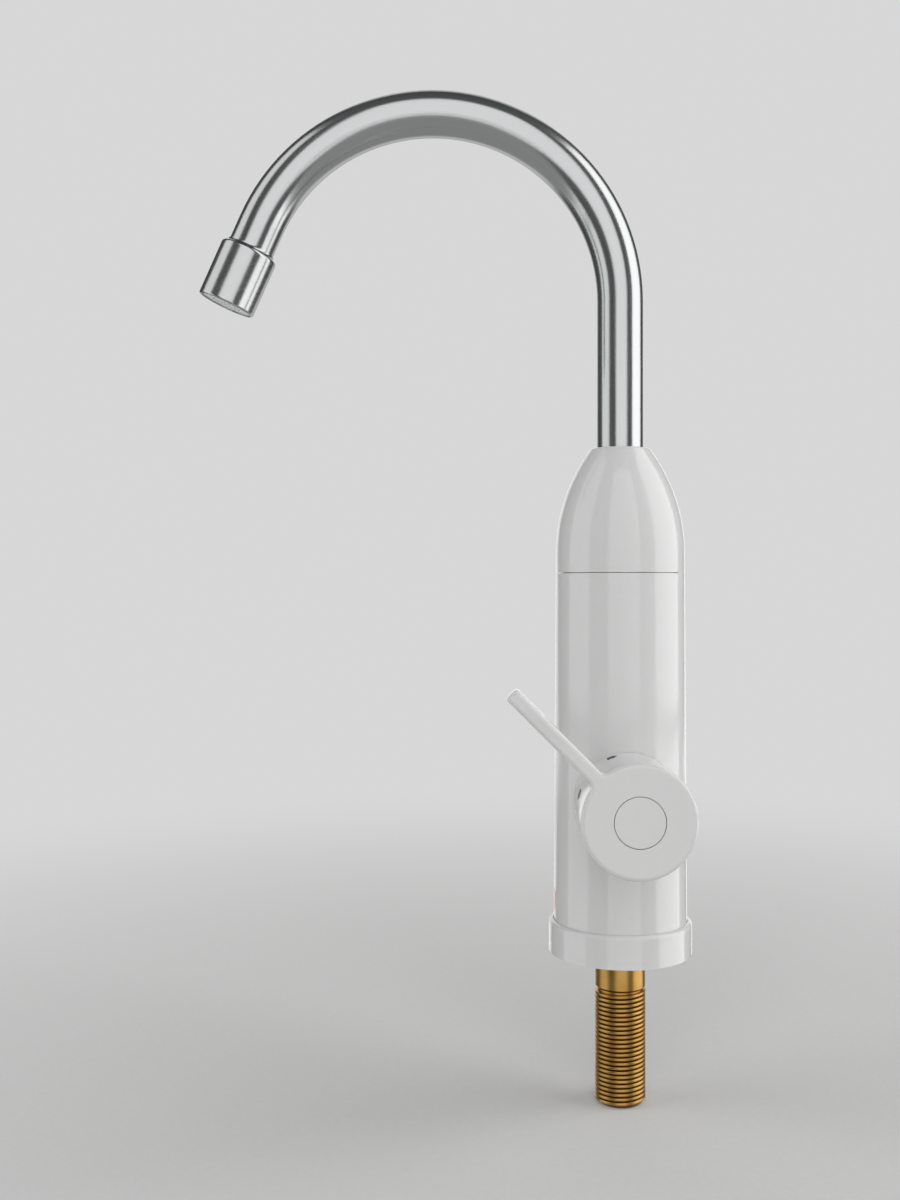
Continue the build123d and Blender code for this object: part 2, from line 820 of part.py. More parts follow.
# Handle: flat disc and straight lever in one moulding, with a hub behind
cap_recess_r = cap_r + cap_gap
screw_seat = handle_face - cap_t - screw_deep
hub_floor = square_front + 0.5
with BuildPart() as handle:
    with BuildSketch(front_plane(handle_face)) as handle_outline:
        with Locations((0, handle_z)):
            Circle(disc_r)
        with Locations(Location((0, handle_z, 0), (0, 0, lever_angle))):
            with Locations((lever_reach / 2, 0)):
                Rectangle(lever_reach, lever_w)
        tip_side = Vector(lever_reach, 0, 0).rotate(Axis.Z, lever_angle) + Vector(0, handle_z, 0)
        corners = handle_outline.vertices().sort_by_distance((tip_side.X, tip_side.Y, 0))
        fillet(corners[:2], radius=lever_tip)
        roots = handle_outline.vertices().sort_by_distance((0, handle_z, 0))
        fillet(roots[:2], radius=lever_root)
    extrude(amount=-lever_t)
    front_edges = handle.faces().sort_by(Axis.Y)[0].outer_wire().edges()
    fillet(front_edges, radius=disc_edge)
    add(shaft(disc_r, disc_r - disc_wall, handle_face - disc_t, handle_face - lever_t))
    add(shaft(disc_r - disc_wall, hub_r, hub_back, handle_face - disc_plate_t), mode=Mode.SUBTRACT)
    add(shaft(hub_r, 0, hub_back, handle_face - cap_t))
    add(shaft(cap_recess_r, 0, handle_face - cap_t, handle_face), mode=Mode.SUBTRACT)
    add(shaft(pan_r + free_gap, 0, screw_seat, handle_face), mode=Mode.SUBTRACT)
    add(shaft(screw_thread_r + free_gap, 0, hub_back, handle_face), mode=Mode.SUBTRACT)
    with BuildSketch(front_plane(hub_back)):
        with Locations((0, handle_z)):
            Rectangle(square_w + 2 * seat_gap, square_w + 2 * seat_gap)
    extrude(amount=hub_floor - hub_back, mode=Mode.SUBTRACT)
handle.part.label = "handle"
export_step(handle.part, "parts/handle.step")

# Handle screw: pan-head machine screw into the spindle
with BuildPart() as handle_screw:
    add(shaft(pan_r, 0, screw_seat, screw_seat + pan_h))
    add(shaft(screw_thread_r, 0, square_front - screw_thread_l, screw_seat))
    with BuildSketch(front_plane(screw_seat + pan_h)):
        with Locations((0, handle_z)):
            Rectangle(cross_l, cross_w)
            Rectangle(cross_w, cross_l)
    extrude(amount=-cross_t, mode=Mode.SUBTRACT)
handle_screw.part.label = "handle_screw"
export_step(handle_screw.part, "parts/handle_screw.step")

# Handle cap: round plug, flush with the disc's face
with BuildPart() as handle_cap:
    add(shaft(cap_r, 0, handle_face - cap_t, handle_face))
    plug_r = pan_r + free_gap - seat_gap
    plug_back = handle_face - cap_t - cap_plug_l
    add(shaft(plug_r, plug_r - cap_plug_t, plug_back, handle_face - cap_t))
    cap_rims = handle_cap.edges().filter_by(GeomType.CIRCLE).group_by(Axis.Y)[0]
    fillet(cap_rims.sort_by(SortBy.RADIUS)[-1], radius=cap_edge)
handle_cap.part.label = "handle_cap"
export_step(handle_cap.part, "parts/handle_cap.step")

# Flow switch body: lower half of the diaphragm housing, on the hot outlet
corner_angles = (45, 135, 225, 315)
screw_spots = spots_round(switch_r - 3.0, corner_angles, heater_x)
spigot_drop = outlet_socket - 2 * seat_gap
chamber_t = 6.5
diaphragm_r = switch_cavity_r + 0.4
small_way_r = 1.7
side_way_low_z = switch_split_z - 6.0
switch_screw_r = 1.2
switch_screw_l = 5.0
with BuildPart() as flow_switch_body:
    with BuildSketch(Plane.XY.offset(outlet_top_z)):
        with Locations((heater_x, 0)):
            Circle(switch_r)
    extrude(amount=switch_body_h)
    with BuildSketch(Plane.XY.offset(outlet_top_z)):
        with Locations((hot_x, 0)):
            Circle(hot_spigot_r - seat_gap)
    extrude(amount=-spigot_drop)
    with BuildSketch(Plane.XY.offset(switch_split_z)):
        with Locations((heater_x, 0)):
            Circle(switch_cavity_r)
    extrude(amount=-chamber_t, mode=Mode.SUBTRACT)
    with BuildSketch(Plane.XY.offset(switch_split_z)):
        with Locations((heater_x, 0)):
            Circle(diaphragm_r + seat_gap)
    extrude(amount=-diaphragm_t, mode=Mode.SUBTRACT)
    with BuildSketch(Plane.XY.offset(outlet_top_z - spigot_drop)):
        with Locations((hot_x, 0)):
            Circle(port_r)
    extrude(amount=spigot_drop + switch_body_h - chamber_t + 0.7, mode=Mode.SUBTRACT)
    with BuildSketch(Plane.XY.offset(switch_split_z)):
        with Locations((heater_x, outlet_y)):
            Circle(small_way_r)
    extrude(amount=side_way_low_z - switch_split_z, mode=Mode.SUBTRACT)
    with BuildSketch(Plane.XY.offset(side_way_low_z)):
        with Locations((heater_x, outlet_y + 2)):
            Rectangle(2.4, 5.0)
    extrude(amount=2.0, mode=Mode.SUBTRACT)
    with BuildSketch(Plane.XY.offset(switch_split_z)):
        with Locations(*screw_spots):
            Circle(switch_screw_r + lapped_gap)
    extrude(amount=-(switch_screw_l + 1.0), mode=Mode.SUBTRACT)
flow_switch_body.part.label = "flow_switch_body"
export_step(flow_switch_body.part, "parts/flow_switch_body.step")

# Flow diaphragm: rubber disc clamped at its rim
with BuildPart() as flow_diaphragm:
    with BuildSketch(Plane.XY.offset(switch_split_z - diaphragm_t)):
        with Locations((heater_x, 0)):
            Circle(diaphragm_r)
    extrude(amount=diaphragm_t)
flow_diaphragm.part.label = "flow_diaphragm"
export_step(flow_diaphragm.part, "parts/flow_diaphragm.step")

# Flow switch cover: upper half, with the pusher's guide and two switch posts
cover_roof = 1.5
ceiling_z = switch_top_z - cover_roof
post_y = micro_w / 2 + 2 * seat_gap
post_t = 2.6
post_w = 4.0
post_tip = 2.0
peg_r = 1.1
peg_x = 6.0
peg_z = micro_low_z + 7.0
pegs = ((heater_x - peg_x, peg_z), (heater_x + peg_x, peg_z))
with BuildPart() as flow_switch_cover:
    with BuildSketch(Plane.XY.offset(switch_split_z)):
        with Locations((heater_x, 0)):
            Circle(switch_r)
    extrude(amount=switch_cover_h)
    with BuildSketch(Plane.XY.offset(switch_split_z)):
        with Locations((heater_x, 0)):
            Circle(pusher_head_r + 1.8)
    extrude(amount=ceiling_z - switch_split_z, mode=Mode.SUBTRACT)
    with BuildSketch(Plane.XY.offset(ceiling_z)):
        with Locations((heater_x, 0)):
            Circle(pusher_stem_r + run_gap)
    extrude(amount=2 * cover_roof, mode=Mode.SUBTRACT)
    with BuildSketch(Plane.XY.offset(switch_top_z)):
        with Locations((heater_x, outlet_y)):
            Circle(hose_bore_r - seat_gap)
    extrude(amount=stub_l)
    with BuildSketch(Plane.XY.offset(switch_split_z)):
        with Locations((heater_x, outlet_y)):
            Circle(small_way_r)
    extrude(amount=switch_cover_h + stub_l, mode=Mode.SUBTRACT)
    with BuildSketch(Plane.XY.offset(switch_split_z)):
        with Locations(*screw_spots):
            Circle(switch_screw_r + housing_gap)
    extrude(amount=switch_cover_h, mode=Mode.SUBTRACT)
    post_mid_y = -post_y - post_t / 2
    with BuildSketch(Plane.XY.offset(switch_top_z)):
        with Locations((heater_x - peg_x, post_mid_y), (heater_x + peg_x, post_mid_y)):
            Rectangle(post_w, post_t)
    extrude(amount=peg_z + post_tip - switch_top_z)
    with BuildSketch(front_plane(post_y)):
        with Locations(*pegs):
            Circle(peg_r)
    extrude(amount=-(micro_w / 2 + post_y))
flow_switch_cover.part.label = "flow_switch_cover"
export_step(flow_switch_cover.part, "parts/flow_switch_cover.step")

# Flow switch screws: four small screws through the cover's rim
with BuildPart() as flow_switch_screws:
    with BuildSketch(Plane.XY.offset(switch_top_z)):
        with Locations(*screw_spots):
            Circle(2.1)
    extrude(amount=1.6)
    with BuildSketch(Plane.XY.offset(switch_top_z)):
        with Locations(*screw_spots):
            Circle(switch_screw_r)
    extrude(amount=-(switch_cover_h + switch_screw_l))
flow_switch_screws.part.label = "flow_switch_screws"
export_step(flow_switch_screws.part, "parts/flow_switch_screws.step")

# Switch pusher: plate on the diaphragm with a stem through the cover
pusher_low_z = switch_split_z + free_gap
pusher_deck_z = pusher_low_z + pusher_head_t
pusher_top_z = micro_low_z - pusher_travel - free_gap
with BuildPart() as switch_pusher:
    with BuildSketch(Plane.XY.offset(pusher_low_z)):
        with Locations((heater_x, 0)):
            Circle(pusher_head_r)
    extrude(amount=pusher_head_t)
    with BuildSketch(Plane.XY.offset(pusher_deck_z)):
        with Locations((heater_x, 0)):
            Circle(pusher_stem_r)
    extrude(amount=pusher_top_z - pusher_deck_z)
switch_pusher.part.label = "switch_pusher"
export_step(switch_pusher.part, "parts/switch_pusher.step")

# Pusher spring: coil between the pusher's plate and the cover
spring_wire_r = 0.25
spring_r = 3.2
spring_turns = 3
spring_low_z = pusher_deck_z + spring_wire_r + lapped_gap
spring_h = ceiling_z - spring_wire_r - lapped_gap - spring_low_z
with BuildPart() as pusher_spring:
    with BuildLine() as spring_path:
        Helix(spring_h / spring_turns, spring_h, spring_r, (heater_x, 0, spring_low_z))
    with BuildSketch(Plane(origin=spring_path.line @ 0, z_dir=spring_path.line % 0)):
        Circle(spring_wire_r)
    sweep(is_frenet=True)
pusher_spring.part.label = "pusher_spring"
export_step(pusher_spring.part, "parts/pusher_spring.step")

# Microswitch: hung on the cover's pegs above the pusher
blade_l = 3.5
blade_w = 3.2
blade_t = 0.8
switch_pole_z = micro_low_z + 5.5
button_in = 2.0
button_way = button_in + pusher_travel + weld
with BuildPart() as microswitch:
    with BuildSketch(Plane.XY.offset(micro_low_z)):
        with Locations((heater_x, 0)):
            Rectangle(micro_l, micro_w)
    extrude(amount=micro_h)
    with BuildSketch(Plane.XY.offset(micro_low_z)):
        with Locations((heater_x, 0)):
            Circle(button_r + run_gap)
    extrude(amount=button_way, mode=Mode.SUBTRACT)
    with BuildSketch(front_plane(micro_w / 2)):
        with Locations(*pegs):
            Circle(peg_r + seat_gap)
    extrude(amount=-micro_w, mode=Mode.SUBTRACT)
    with BuildSketch(Plane.YZ.offset(heater_x - micro_l / 2)):
        with Locations((0, switch_pole_z)):
            Rectangle(blade_w, blade_t)
    extrude(amount=-blade_l)
    with BuildSketch(front_plane(-micro_w / 2)):
        with Locations((heater_x, switch_pole_z)):
            Rectangle(blade_w, blade_t)
    extrude(amount=-blade_l)
microswitch.part.label = "microswitch"
export_step(microswitch.part, "parts/microswitch.step")

# Switch button: rides on the pusher's stem into the microswitch
with BuildPart() as switch_button:
    with BuildSketch(Plane.XY.offset(pusher_top_z)):
        with Locations((heater_x, 0)):
            Circle(button_r)
    extrude(amount=micro_low_z + button_in - pusher_top_z)
switch_button.part.label = "switch_button"
export_step(switch_button.part, "parts/switch_button.step")

# Hot hose: silicone hose from the flow switch to the vessel
hose_out_r = hose_bore_r + hose_t
hose_low_z = switch_top_z + 1.0
hose_high_z = vessel_low_z - 1.0
with BuildPart() as hot_hose:
    with BuildSketch(Plane.XY.offset(hose_low_z)):
        with Locations((heater_x, outlet_y)):
            Circle(hose_out_r)
            Circle(hose_bore_r, mode=Mode.SUBTRACT)
    extrude(amount=hose_high_z - hose_low_z)
hot_hose.part.label = "hot_hose"
export_step(hot_hose.part, "parts/hot_hose.step")

# Hose clips: two spring bands on the hose's ends
clip_w = 3.0
clip_t = 0.85
clip_in = 1.0
with BuildPart() as hose_clips:
    for low in (hose_low_z + clip_in, hose_high_z - clip_in - clip_w):
        with BuildSketch(Plane.XY.offset(low)):
            with Locations((heater_x, outlet_y)):
                Circle(hose_out_r + lapped_gap + clip_t)
                Circle(hose_out_r + lapped_gap, mode=Mode.SUBTRACT)
        extrude(amount=clip_w)
hose_clips.part.label = "hose_clips"
export_step(hose_clips.part, "parts/hose_clips.step")

# Heater vessel: moulded cup with four screw ears and the cutout's pad
vessel_in_r = vessel_r - vessel_wall
ears = spots_round(ear_circle, corner_angles, heater_x)
legs = ((heater_x - element_dx, element_dy), (heater_x + element_dx, element_dy))
pad_y = vessel_r + 1.5
pad_w = 14.0
pad_t = 9.0
groove_mean_r = (vessel_in_r + vessel_flange_r) / 2 + 0.1
vessel_groove_w = 1.8
vessel_groove_t = 1.4
vessel_screw_r = 1.35
cutout_screw_r = 1.3
cutout_screw_l = 3.6
cutout_screws_at = ((0, cutout_z + cutout_screw_rise), (0, cutout_z - cutout_screw_rise))
with BuildPart() as heater_vessel:
    with BuildSketch(Plane.XY.offset(vessel_low_z)):
        with Locations((heater_x, 0)):
            Circle(vessel_r)
    extrude(amount=vessel_split_z - vessel_low_z)
    with BuildSketch(Plane.XY.offset(cutout_z - cutout_ear_l / 2)):
        with Locations((0, pad_y - pad_t / 2)):
            Rectangle(pad_w, pad_t)
    extrude(amount=cutout_ear_l)
    with BuildSketch(Plane.XY.offset(vessel_split_z - vessel_flange_t)):
        with Locations((heater_x, 0)):
            Circle(vessel_flange_r)
        with Locations(*ears):
            Circle(ear_r)
    extrude(amount=vessel_flange_t)
    with BuildSketch(Plane.XY.offset(vessel_low_z + vessel_floor)):
        with Locations((heater_x, 0)):
            Circle(vessel_in_r)
    extrude(amount=vessel_split_z, mode=Mode.SUBTRACT)
    with BuildSketch(Plane.XY.offset(vessel_split_z)):
        with Locations((heater_x, 0)):
            Circle(groove_mean_r + vessel_groove_w / 2)
            Circle(groove_mean_r - vessel_groove_w / 2, mode=Mode.SUBTRACT)
    extrude(amount=-vessel_groove_t, mode=Mode.SUBTRACT)
    with BuildSketch(Plane.XY.offset(vessel_split_z)):
        with Locations(*ears):
            Circle(vessel_screw_r + lapped_gap)
    extrude(amount=-vessel_flange_t, mode=Mode.SUBTRACT)
    with BuildSketch(Plane.XY.offset(vessel_low_z)):
        with Locations(*legs):
            Circle(bush_r + seat_gap)
    extrude(amount=vessel_floor, mode=Mode.SUBTRACT)
    with BuildSketch(Plane.XY.offset(vessel_low_z)):
        with Locations((heater_x, outlet_y)):
            Circle(hose_bore_r - seat_gap)
    extrude(amount=-stub_l)
    with BuildSketch(Plane.XY.offset(vessel_low_z - stub_l)):
        with Locations((heater_x, outlet_y)):
            Circle(small_way_r)
    extrude(amount=stub_l + vessel_floor, mode=Mode.SUBTRACT)
    with BuildSketch(front_plane(-pad_y)):
        with Locations(*cutout_screws_at):
            Circle(cutout_screw_r + lapped_gap)
    extrude(amount=cutout_screw_l - 0.4, mode=Mode.SUBTRACT)
heater_vessel.part.label = "heater_vessel"
export_step(heater_vessel.part, "parts/heater_vessel.step")

# Vessel O-ring: between the cup and the lid
with BuildPart() as vessel_o_ring:
    with BuildSketch(Plane.XZ):
        with Locations((heater_x + groove_mean_r, vessel_split_z - vessel_groove_t / 2)):
            Circle(vessel_groove_t / 2 - ring_lift)
    revolve(axis=Axis((heater_x, 0, 0), (0, 0, 1)))
vessel_o_ring.part.label = "vessel_o_ring"
export_step(vessel_o_ring.part, "parts/vessel_o_ring.step")

# Heater lid: cap of the vessel, with the nozzle to the spout socket
nozzle_top_z = socket_low_z + nozzle_l
with BuildPart() as heater_lid:
    with BuildSketch(Plane.XY.offset(vessel_split_z)):
        with Locations((heater_x, 0)):
            Circle(vessel_flange_r)
        with Locations(*ears):
            Circle(ear_r)
    extrude(amount=vessel_flange_t)
    with BuildSketch(Plane.XY.offset(vessel_split_z)):
        with Locations((heater_x, 0)):
            Circle(vessel_r)
    extrude(amount=vessel_top_z - vessel_split_z)
    with BuildSketch(Plane.XY.offset(vessel_split_z)):
        with Locations((heater_x, 0)):
            Circle(vessel_in_r)
    extrude(amount=vessel_lid_h - lid_roof, mode=Mode.SUBTRACT)
    with BuildSketch(Plane.XY.offset(vessel_split_z)):
        with Locations(*ears):
            Circle(vessel_screw_r + 2.5 * seat_gap)
    extrude(amount=vessel_flange_t, mode=Mode.SUBTRACT)
    with BuildSketch(Plane.XY.offset(vessel_top_z)):
        Circle(nozzle_r)
    extrude(amount=nozzle_l)
    with BuildSketch(Plane.XY.offset(vessel_top_z - lid_roof)):
        Circle(nozzle_bore_r)
    extrude(amount=nozzle_l + lid_roof, mode=Mode.SUBTRACT)
heater_lid.part.label = "heater_lid"
export_step(heater_lid.part, "parts/heater_lid.step")

# Vessel screws: four screws that clamp the lid on the cup
with BuildPart() as vessel_screws:
    with BuildSketch(Plane.XY.offset(vessel_split_z + vessel_flange_t)):
        with Locations(*ears):
            Circle(2.4)
    extrude(amount=1.8)
    with BuildSketch(Plane.XY.offset(vessel_split_z + vessel_flange_t)):
        with Locations(*ears):
            Circle(vessel_screw_r)
    extrude(amount=-2 * vessel_flange_t)
vessel_screws.part.label = "vessel_screws"
export_step(vessel_screws.part, "parts/vessel_screws.step")

# Heating element: one steel tube bent into three hairpins, with contact pins
element_high_z = vessel_split_z + vessel_lid_h / 2
element_turn_z = vessel_low_z + vessel_floor + 6.0
with BuildPart() as heating_element:
    with BuildLine() as element_path:
        FilletPolyline(
            (heater_x - element_dx, element_dy, element_low_z),
            (heater_x - element_dx, element_dy, element_high_z),
            (heater_x - element_dx, -element_dy, element_high_z),
            (heater_x - element_dx, -element_dy, element_turn_z),
            (heater_x + element_dx, -element_dy, element_turn_z),
            (heater_x + element_dx, -element_dy, element_high_z),
            (heater_x + element_dx, element_dy, element_high_z),
            (heater_x + element_dx, element_dy, element_low_z),
            radius=element_bend,
        )
    with BuildSketch(Plane.XY.offset(element_low_z)):
        with Locations(legs[0]):
            Circle(element_r)
    sweep()
    with BuildSketch(Plane.XY.offset(element_low_z)):
        with Locations(*legs):
            Circle(pin_r)
    extrude(amount=-pin_l)
heating_element.part.label = "heating_element"
export_step(heating_element.part, "parts/heating_element.step")

# Element bushes: brass glands that seat in the vessel's floor
bush_tail = 4.5
bush_lip = 1.0
with BuildPart() as element_bushes:
    with BuildSketch(Plane.XY.offset(vessel_low_z + vessel_floor)):
        with Locations(*legs):
            Circle(bush_r + bush_lip)
    extrude(amount=bush_lip)
    with BuildSketch(Plane.XY.offset(vessel_low_z + vessel_floor)):
        with Locations(*legs):
            Circle(bush_r)
    extrude(amount=-(vessel_floor + bush_tail))
    with BuildSketch(Plane.XY.offset(vessel_low_z - bush_tail)):
        with Locations(*legs):
            Circle(element_r + lapped_gap)
    extrude(amount=bush_tail + vessel_floor + bush_lip, mode=Mode.SUBTRACT)
element_bushes.part.label = "element_bushes"
export_step(element_bushes.part, "parts/element_bushes.step")

# Element nuts: hexagon nuts under the vessel's floor
with BuildPart() as element_nuts:
    with BuildSketch(Plane.XY.offset(vessel_low_z)):
        with Locations(*legs):
            RegularPolygon(radius=bush_r + 1.3, side_count=6)
            Circle(bush_r + lapped_gap, mode=Mode.SUBTRACT)
    extrude(amount=-2.4)
element_nuts.part.label = "element_nuts"
export_step(element_nuts.part, "parts/element_nuts.step")

# Thermal cutout: bimetal disc switch on the vessel's pad
cutout_plate_t = 0.8
cutout_body_l = 3.6
cutout_plate_y = pad_y + cutout_plate_t
blade_y = cutout_plate_y + 2.1
blade_x = cutout_r / 2
blade_low_z = cutout_z - cutout_r - 3.8
with BuildPart() as thermal_cutout:
    with BuildSketch(front_plane(-pad_y)):
        with Locations((0, cutout_z)):
            SlotOverall(cutout_ear_l, cutout_ear_w, rotation=90)
            Circle(cutout_r)
        with Locations(*cutout_screws_at):
            Circle(cutout_screw_r + free_gap, mode=Mode.SUBTRACT)
    extrude(amount=-cutout_plate_t)
    with BuildSketch(front_plane(-cutout_plate_y)):
        with Locations((0, cutout_z)):
            Circle(cutout_r - 0.8)
    extrude(amount=-cutout_body_l)
    with BuildSketch(Plane.XY.offset(blade_low_z)):
        with Locations((-blade_x, blade_y), (blade_x, blade_y)):
            Rectangle(0.75 * blade_w, blade_t)
    extrude(amount=cutout_blade_l)
thermal_cutout.part.label = "thermal_cutout"
export_step(thermal_cutout.part, "parts/thermal_cutout.step")

# Cutout screws: two screws into the pad
with BuildPart() as cutout_screws:
    with BuildSketch(front_plane(-cutout_plate_y)):
        with Locations(*cutout_screws_at):
            Circle(2.3)
    extrude(amount=-1.5)
    with BuildSketch(front_plane(-cutout_plate_y)):
        with Locations(*cutout_screws_at):
            Circle(cutout_screw_r)
    extrude(amount=cutout_screw_l)
cutout_screws.part.label = "cutout_screws"
export_step(cutout_screws.part, "parts/cutout_screws.step")

# Cold pipe: copper tube that carries cold water past the heater
cold_pipe_t = 0.8
cold_pipe_in = 3.0
cold_pipe_low_z = outlet_top_z - outlet_socket
cold_pipe_high_z = socket_low_z + cold_pipe_in
with BuildPart() as cold_pipe:
    with BuildSketch(Plane.XY.offset(cold_pipe_low_z)):
        with Locations((cold_x, 0)):
            Circle(cold_pipe_r)
            Circle(cold_pipe_r - cold_pipe_t, mode=Mode.SUBTRACT)
    extrude(amount=cold_pipe_high_z - cold_pipe_low_z)
cold_pipe.part.label = "cold_pipe"
export_step(cold_pipe.part, "parts/cold_pipe.step")

# Spout socket: mixes both waters and holds the turning spout
post_angles = (60, 180, 300)
post_spots = spots_round(post_circle, post_angles)
post_screw_r = 1.4
socket_foot_r = 12.0
cold_boss_r = cold_pipe_r + 1.1
cold_boss_drop = 2.5
cold_way_z = nozzle_top_z + 1.5
socket_ear_t = 5.0
socket_ear_w = 5.0
bore_floor_z = tube_foot_z - weld
nut_l = 5.2
nut_lip = 1.0
nut_r = sleeve_r + 0.7
nut_low_z = socket_top_z - nut_l
ear_low_z = socket_deck_z - socket_ear_t
with BuildPart() as spout_socket:
    with BuildSketch(Plane.XY.offset(socket_low_z)):
        Circle(socket_foot_r)
        with Locations((cold_x / 2, 0)):
            Rectangle(cold_x, cold_arm_w)
    extrude(amount=socket_deck_z - socket_low_z)
    with BuildSketch(Plane.XY.offset(socket_low_z - cold_boss_drop)):
        with Locations((cold_x, 0)):
            Circle(cold_boss_r)
    extrude(amount=socket_deck_z - socket_low_z + cold_boss_drop)
    with BuildSketch(Plane.XY.offset(ear_low_z)):
        with Locations(*post_spots):
            Circle(post_r + seat_gap)
        for angle in post_angles:
            middle = Vector(post_circle / 2, 0).rotate(Axis.Z, angle)
            with Locations(Location((middle.X, middle.Y, 0), (0, 0, angle))):
                Rectangle(post_circle, socket_ear_w)
    extrude(amount=socket_ear_t)
    with BuildSketch(Plane.XY.offset(socket_deck_z)):
        Circle(socket_r)
    extrude(amount=socket_top_z - socket_deck_z)
    with BuildSketch(Plane.XY.offset(bore_floor_z)):
        Circle(sleeve_r + seat_gap)
    extrude(amount=socket_top_z, mode=Mode.SUBTRACT)
    with BuildSketch(Plane.XY.offset(nut_low_z)):
        Circle(nut_r + seat_gap)
    extrude(amount=socket_top_z, mode=Mode.SUBTRACT)
    with BuildSketch(Plane.XY.offset(socket_low_z)):
        Circle(nozzle_r + seat_gap)
    extrude(amount=nozzle_top_z - socket_low_z, mode=Mode.SUBTRACT)
    with BuildSketch(Plane.XY.offset(nozzle_top_z)):
        Circle(nozzle_bore_r)
    extrude(amount=bore_floor_z - nozzle_top_z, mode=Mode.SUBTRACT)
    with BuildSketch(Plane.XY.offset(socket_low_z - cold_boss_drop)):
        with Locations((cold_x, 0)):
            Circle(cold_pipe_r + seat_gap)
    extrude(amount=cold_boss_drop + cold_pipe_in, mode=Mode.SUBTRACT)
    with BuildSketch(Plane.XY.offset(socket_low_z)):
        with Locations((cold_x, 0)):
            Circle(1.6)
    extrude(amount=cold_way_z - socket_low_z, mode=Mode.SUBTRACT)
    with BuildSketch(Plane.YZ):
        with Locations((0, cold_way_z)):
            Circle(1.4)
    extrude(amount=cold_x, mode=Mode.SUBTRACT)
    with BuildSketch(Plane.XY.offset(ear_low_z)):
        with Locations(*post_spots):
            Circle(post_screw_r + 2 * seat_gap)
    extrude(amount=socket_ear_t, mode=Mode.SUBTRACT)
spout_socket.part.label = "spout_socket"
export_step(spout_socket.part, "parts/spout_socket.step")


# Solid of the top cover's outer form, drawn in by a depth from its outer face
def cover_form(inset, top_z):
    arc_x = housing_top_r - cover_arc_r
    arc_r = cover_arc_r - inset
    wall_r = housing_top_r - inset
    middle_angle = radians(cone_angle / 2)
    middle = (arc_x + arc_r * cos(middle_angle), cover_arc_z + arc_r * sin(middle_angle))
    end_angle = radians(cone_angle)
    end = (arc_x + arc_r * cos(end_angle), cover_arc_z + arc_r * sin(end_angle))
    top_r = end[0] - (top_z - end[1]) * tan(end_angle)
    with BuildPart() as form:
        with BuildSketch(Plane.XZ):
            with BuildLine():
                Line((0, cover_low_z), (wall_r, cover_low_z))
                Line((wall_r, cover_low_z), (wall_r, cover_arc_z))
                ThreePointArc((wall_r, cover_arc_z), middle, end)
                Line(end, (top_r, top_z))
                Line((top_r, top_z), (0, top_z))
                Line((0, top_z), (0, cover_low_z))
            make_face()
        revolve(axis=Axis.Z)
    return form.part


# Top cover: moulded ogive with a spigot below and three screw posts inside
cover_low_z = seam_z + seam_w / 2
cover_hole_r = tube_r + free_gap
spigot_r = housing_top_r - shell_t - seat_gap
spigot_in_r = spigot_r - spigot_t
cover_roof_t = 2.4
post_hole_l = 11.0
cover_space = cover_form(shell_t, cover_top_z - cover_roof_t)
with BuildPart() as cover_posts:
    with BuildSketch(Plane.XY.offset(socket_deck_z)):
        with Locations(*post_spots):
            Circle(post_r)
    extrude(amount=cover_top_z - socket_deck_z)
    add(cover_form(shell_t - weld, cover_top_z - cover_roof_t + weld), mode=Mode.INTERSECT)
with BuildPart() as top_cover:
    add(cover_form(0, cover_top_z))
    fillet(top_cover.edges().filter_by(GeomType.CIRCLE).group_by(Axis.Z)[-1], radius=cover_edge)
    add(cover_space, mode=Mode.SUBTRACT)
    add(tube(housing_top_r - shell_t / 2, spigot_in_r, cover_low_z, cover_low_z + spigot_t))
    add(tube(spigot_r, spigot_in_r, seam_z - spigot_l, cover_low_z + spigot_t / 2))
    add(cover_posts.part)
    add(tube(cover_hole_r, 0, socket_top_z, cover_top_z + cut_over), mode=Mode.SUBTRACT)
    with BuildSketch(Plane.XY.offset(socket_deck_z)):
        with Locations(*post_spots):
            Circle(post_screw_r + lapped_gap)
    extrude(amount=post_hole_l, mode=Mode.SUBTRACT)
top_cover.part.label = "top_cover"
export_step(top_cover.part, "parts/top_cover.step")

# Cover screws: three screws up through the socket's ears
with BuildPart() as cover_screws:
    with BuildSketch(Plane.XY.offset(ear_low_z)):
        with Locations(*post_spots):
            Circle(screw_head_r)
    extrude(amount=-screw_head_t)
    with BuildSketch(Plane.XY.offset(ear_low_z)):
        with Locations(*post_spots):
            Circle(post_screw_r)
    extrude(amount=socket_ear_t + post_hole_l - 1.0)
cover_screws.part.label = "cover_screws"
export_step(cover_screws.part, "parts/cover_screws.step")

# Spout nut: keeps the sleeve down in the socket
spout_nut = tube(nut_r, tube_r + free_gap, nut_low_z, socket_top_z + nut_lip)
spout_nut.label = "spout_nut"
export_step(spout_nut, "parts/spout_nut.step")

# Spout sleeve: bearing bush pressed on the tube's foot, with two grooves
sleeve_top_z = nut_low_z - free_gap - seat_gap
sleeve_groove_r = sleeve_r - 1.4
sleeve_grooves = (tube_foot_z + 5.0, tube_foot_z + 12.0)
sleeve_groove_w = 2.4
with BuildPart() as spout_sleeve:
    add(tube(sleeve_r, tube_r + lapped_gap, tube_foot_z, sleeve_top_z))
    for low in sleeve_grooves:
        add(tube(sleeve_r + skim, sleeve_groove_r, low, low + sleeve_groove_w), mode=Mode.SUBTRACT)
spout_sleeve.part.label = "spout_sleeve"
export_step(spout_sleeve.part, "parts/spout_sleeve.step")

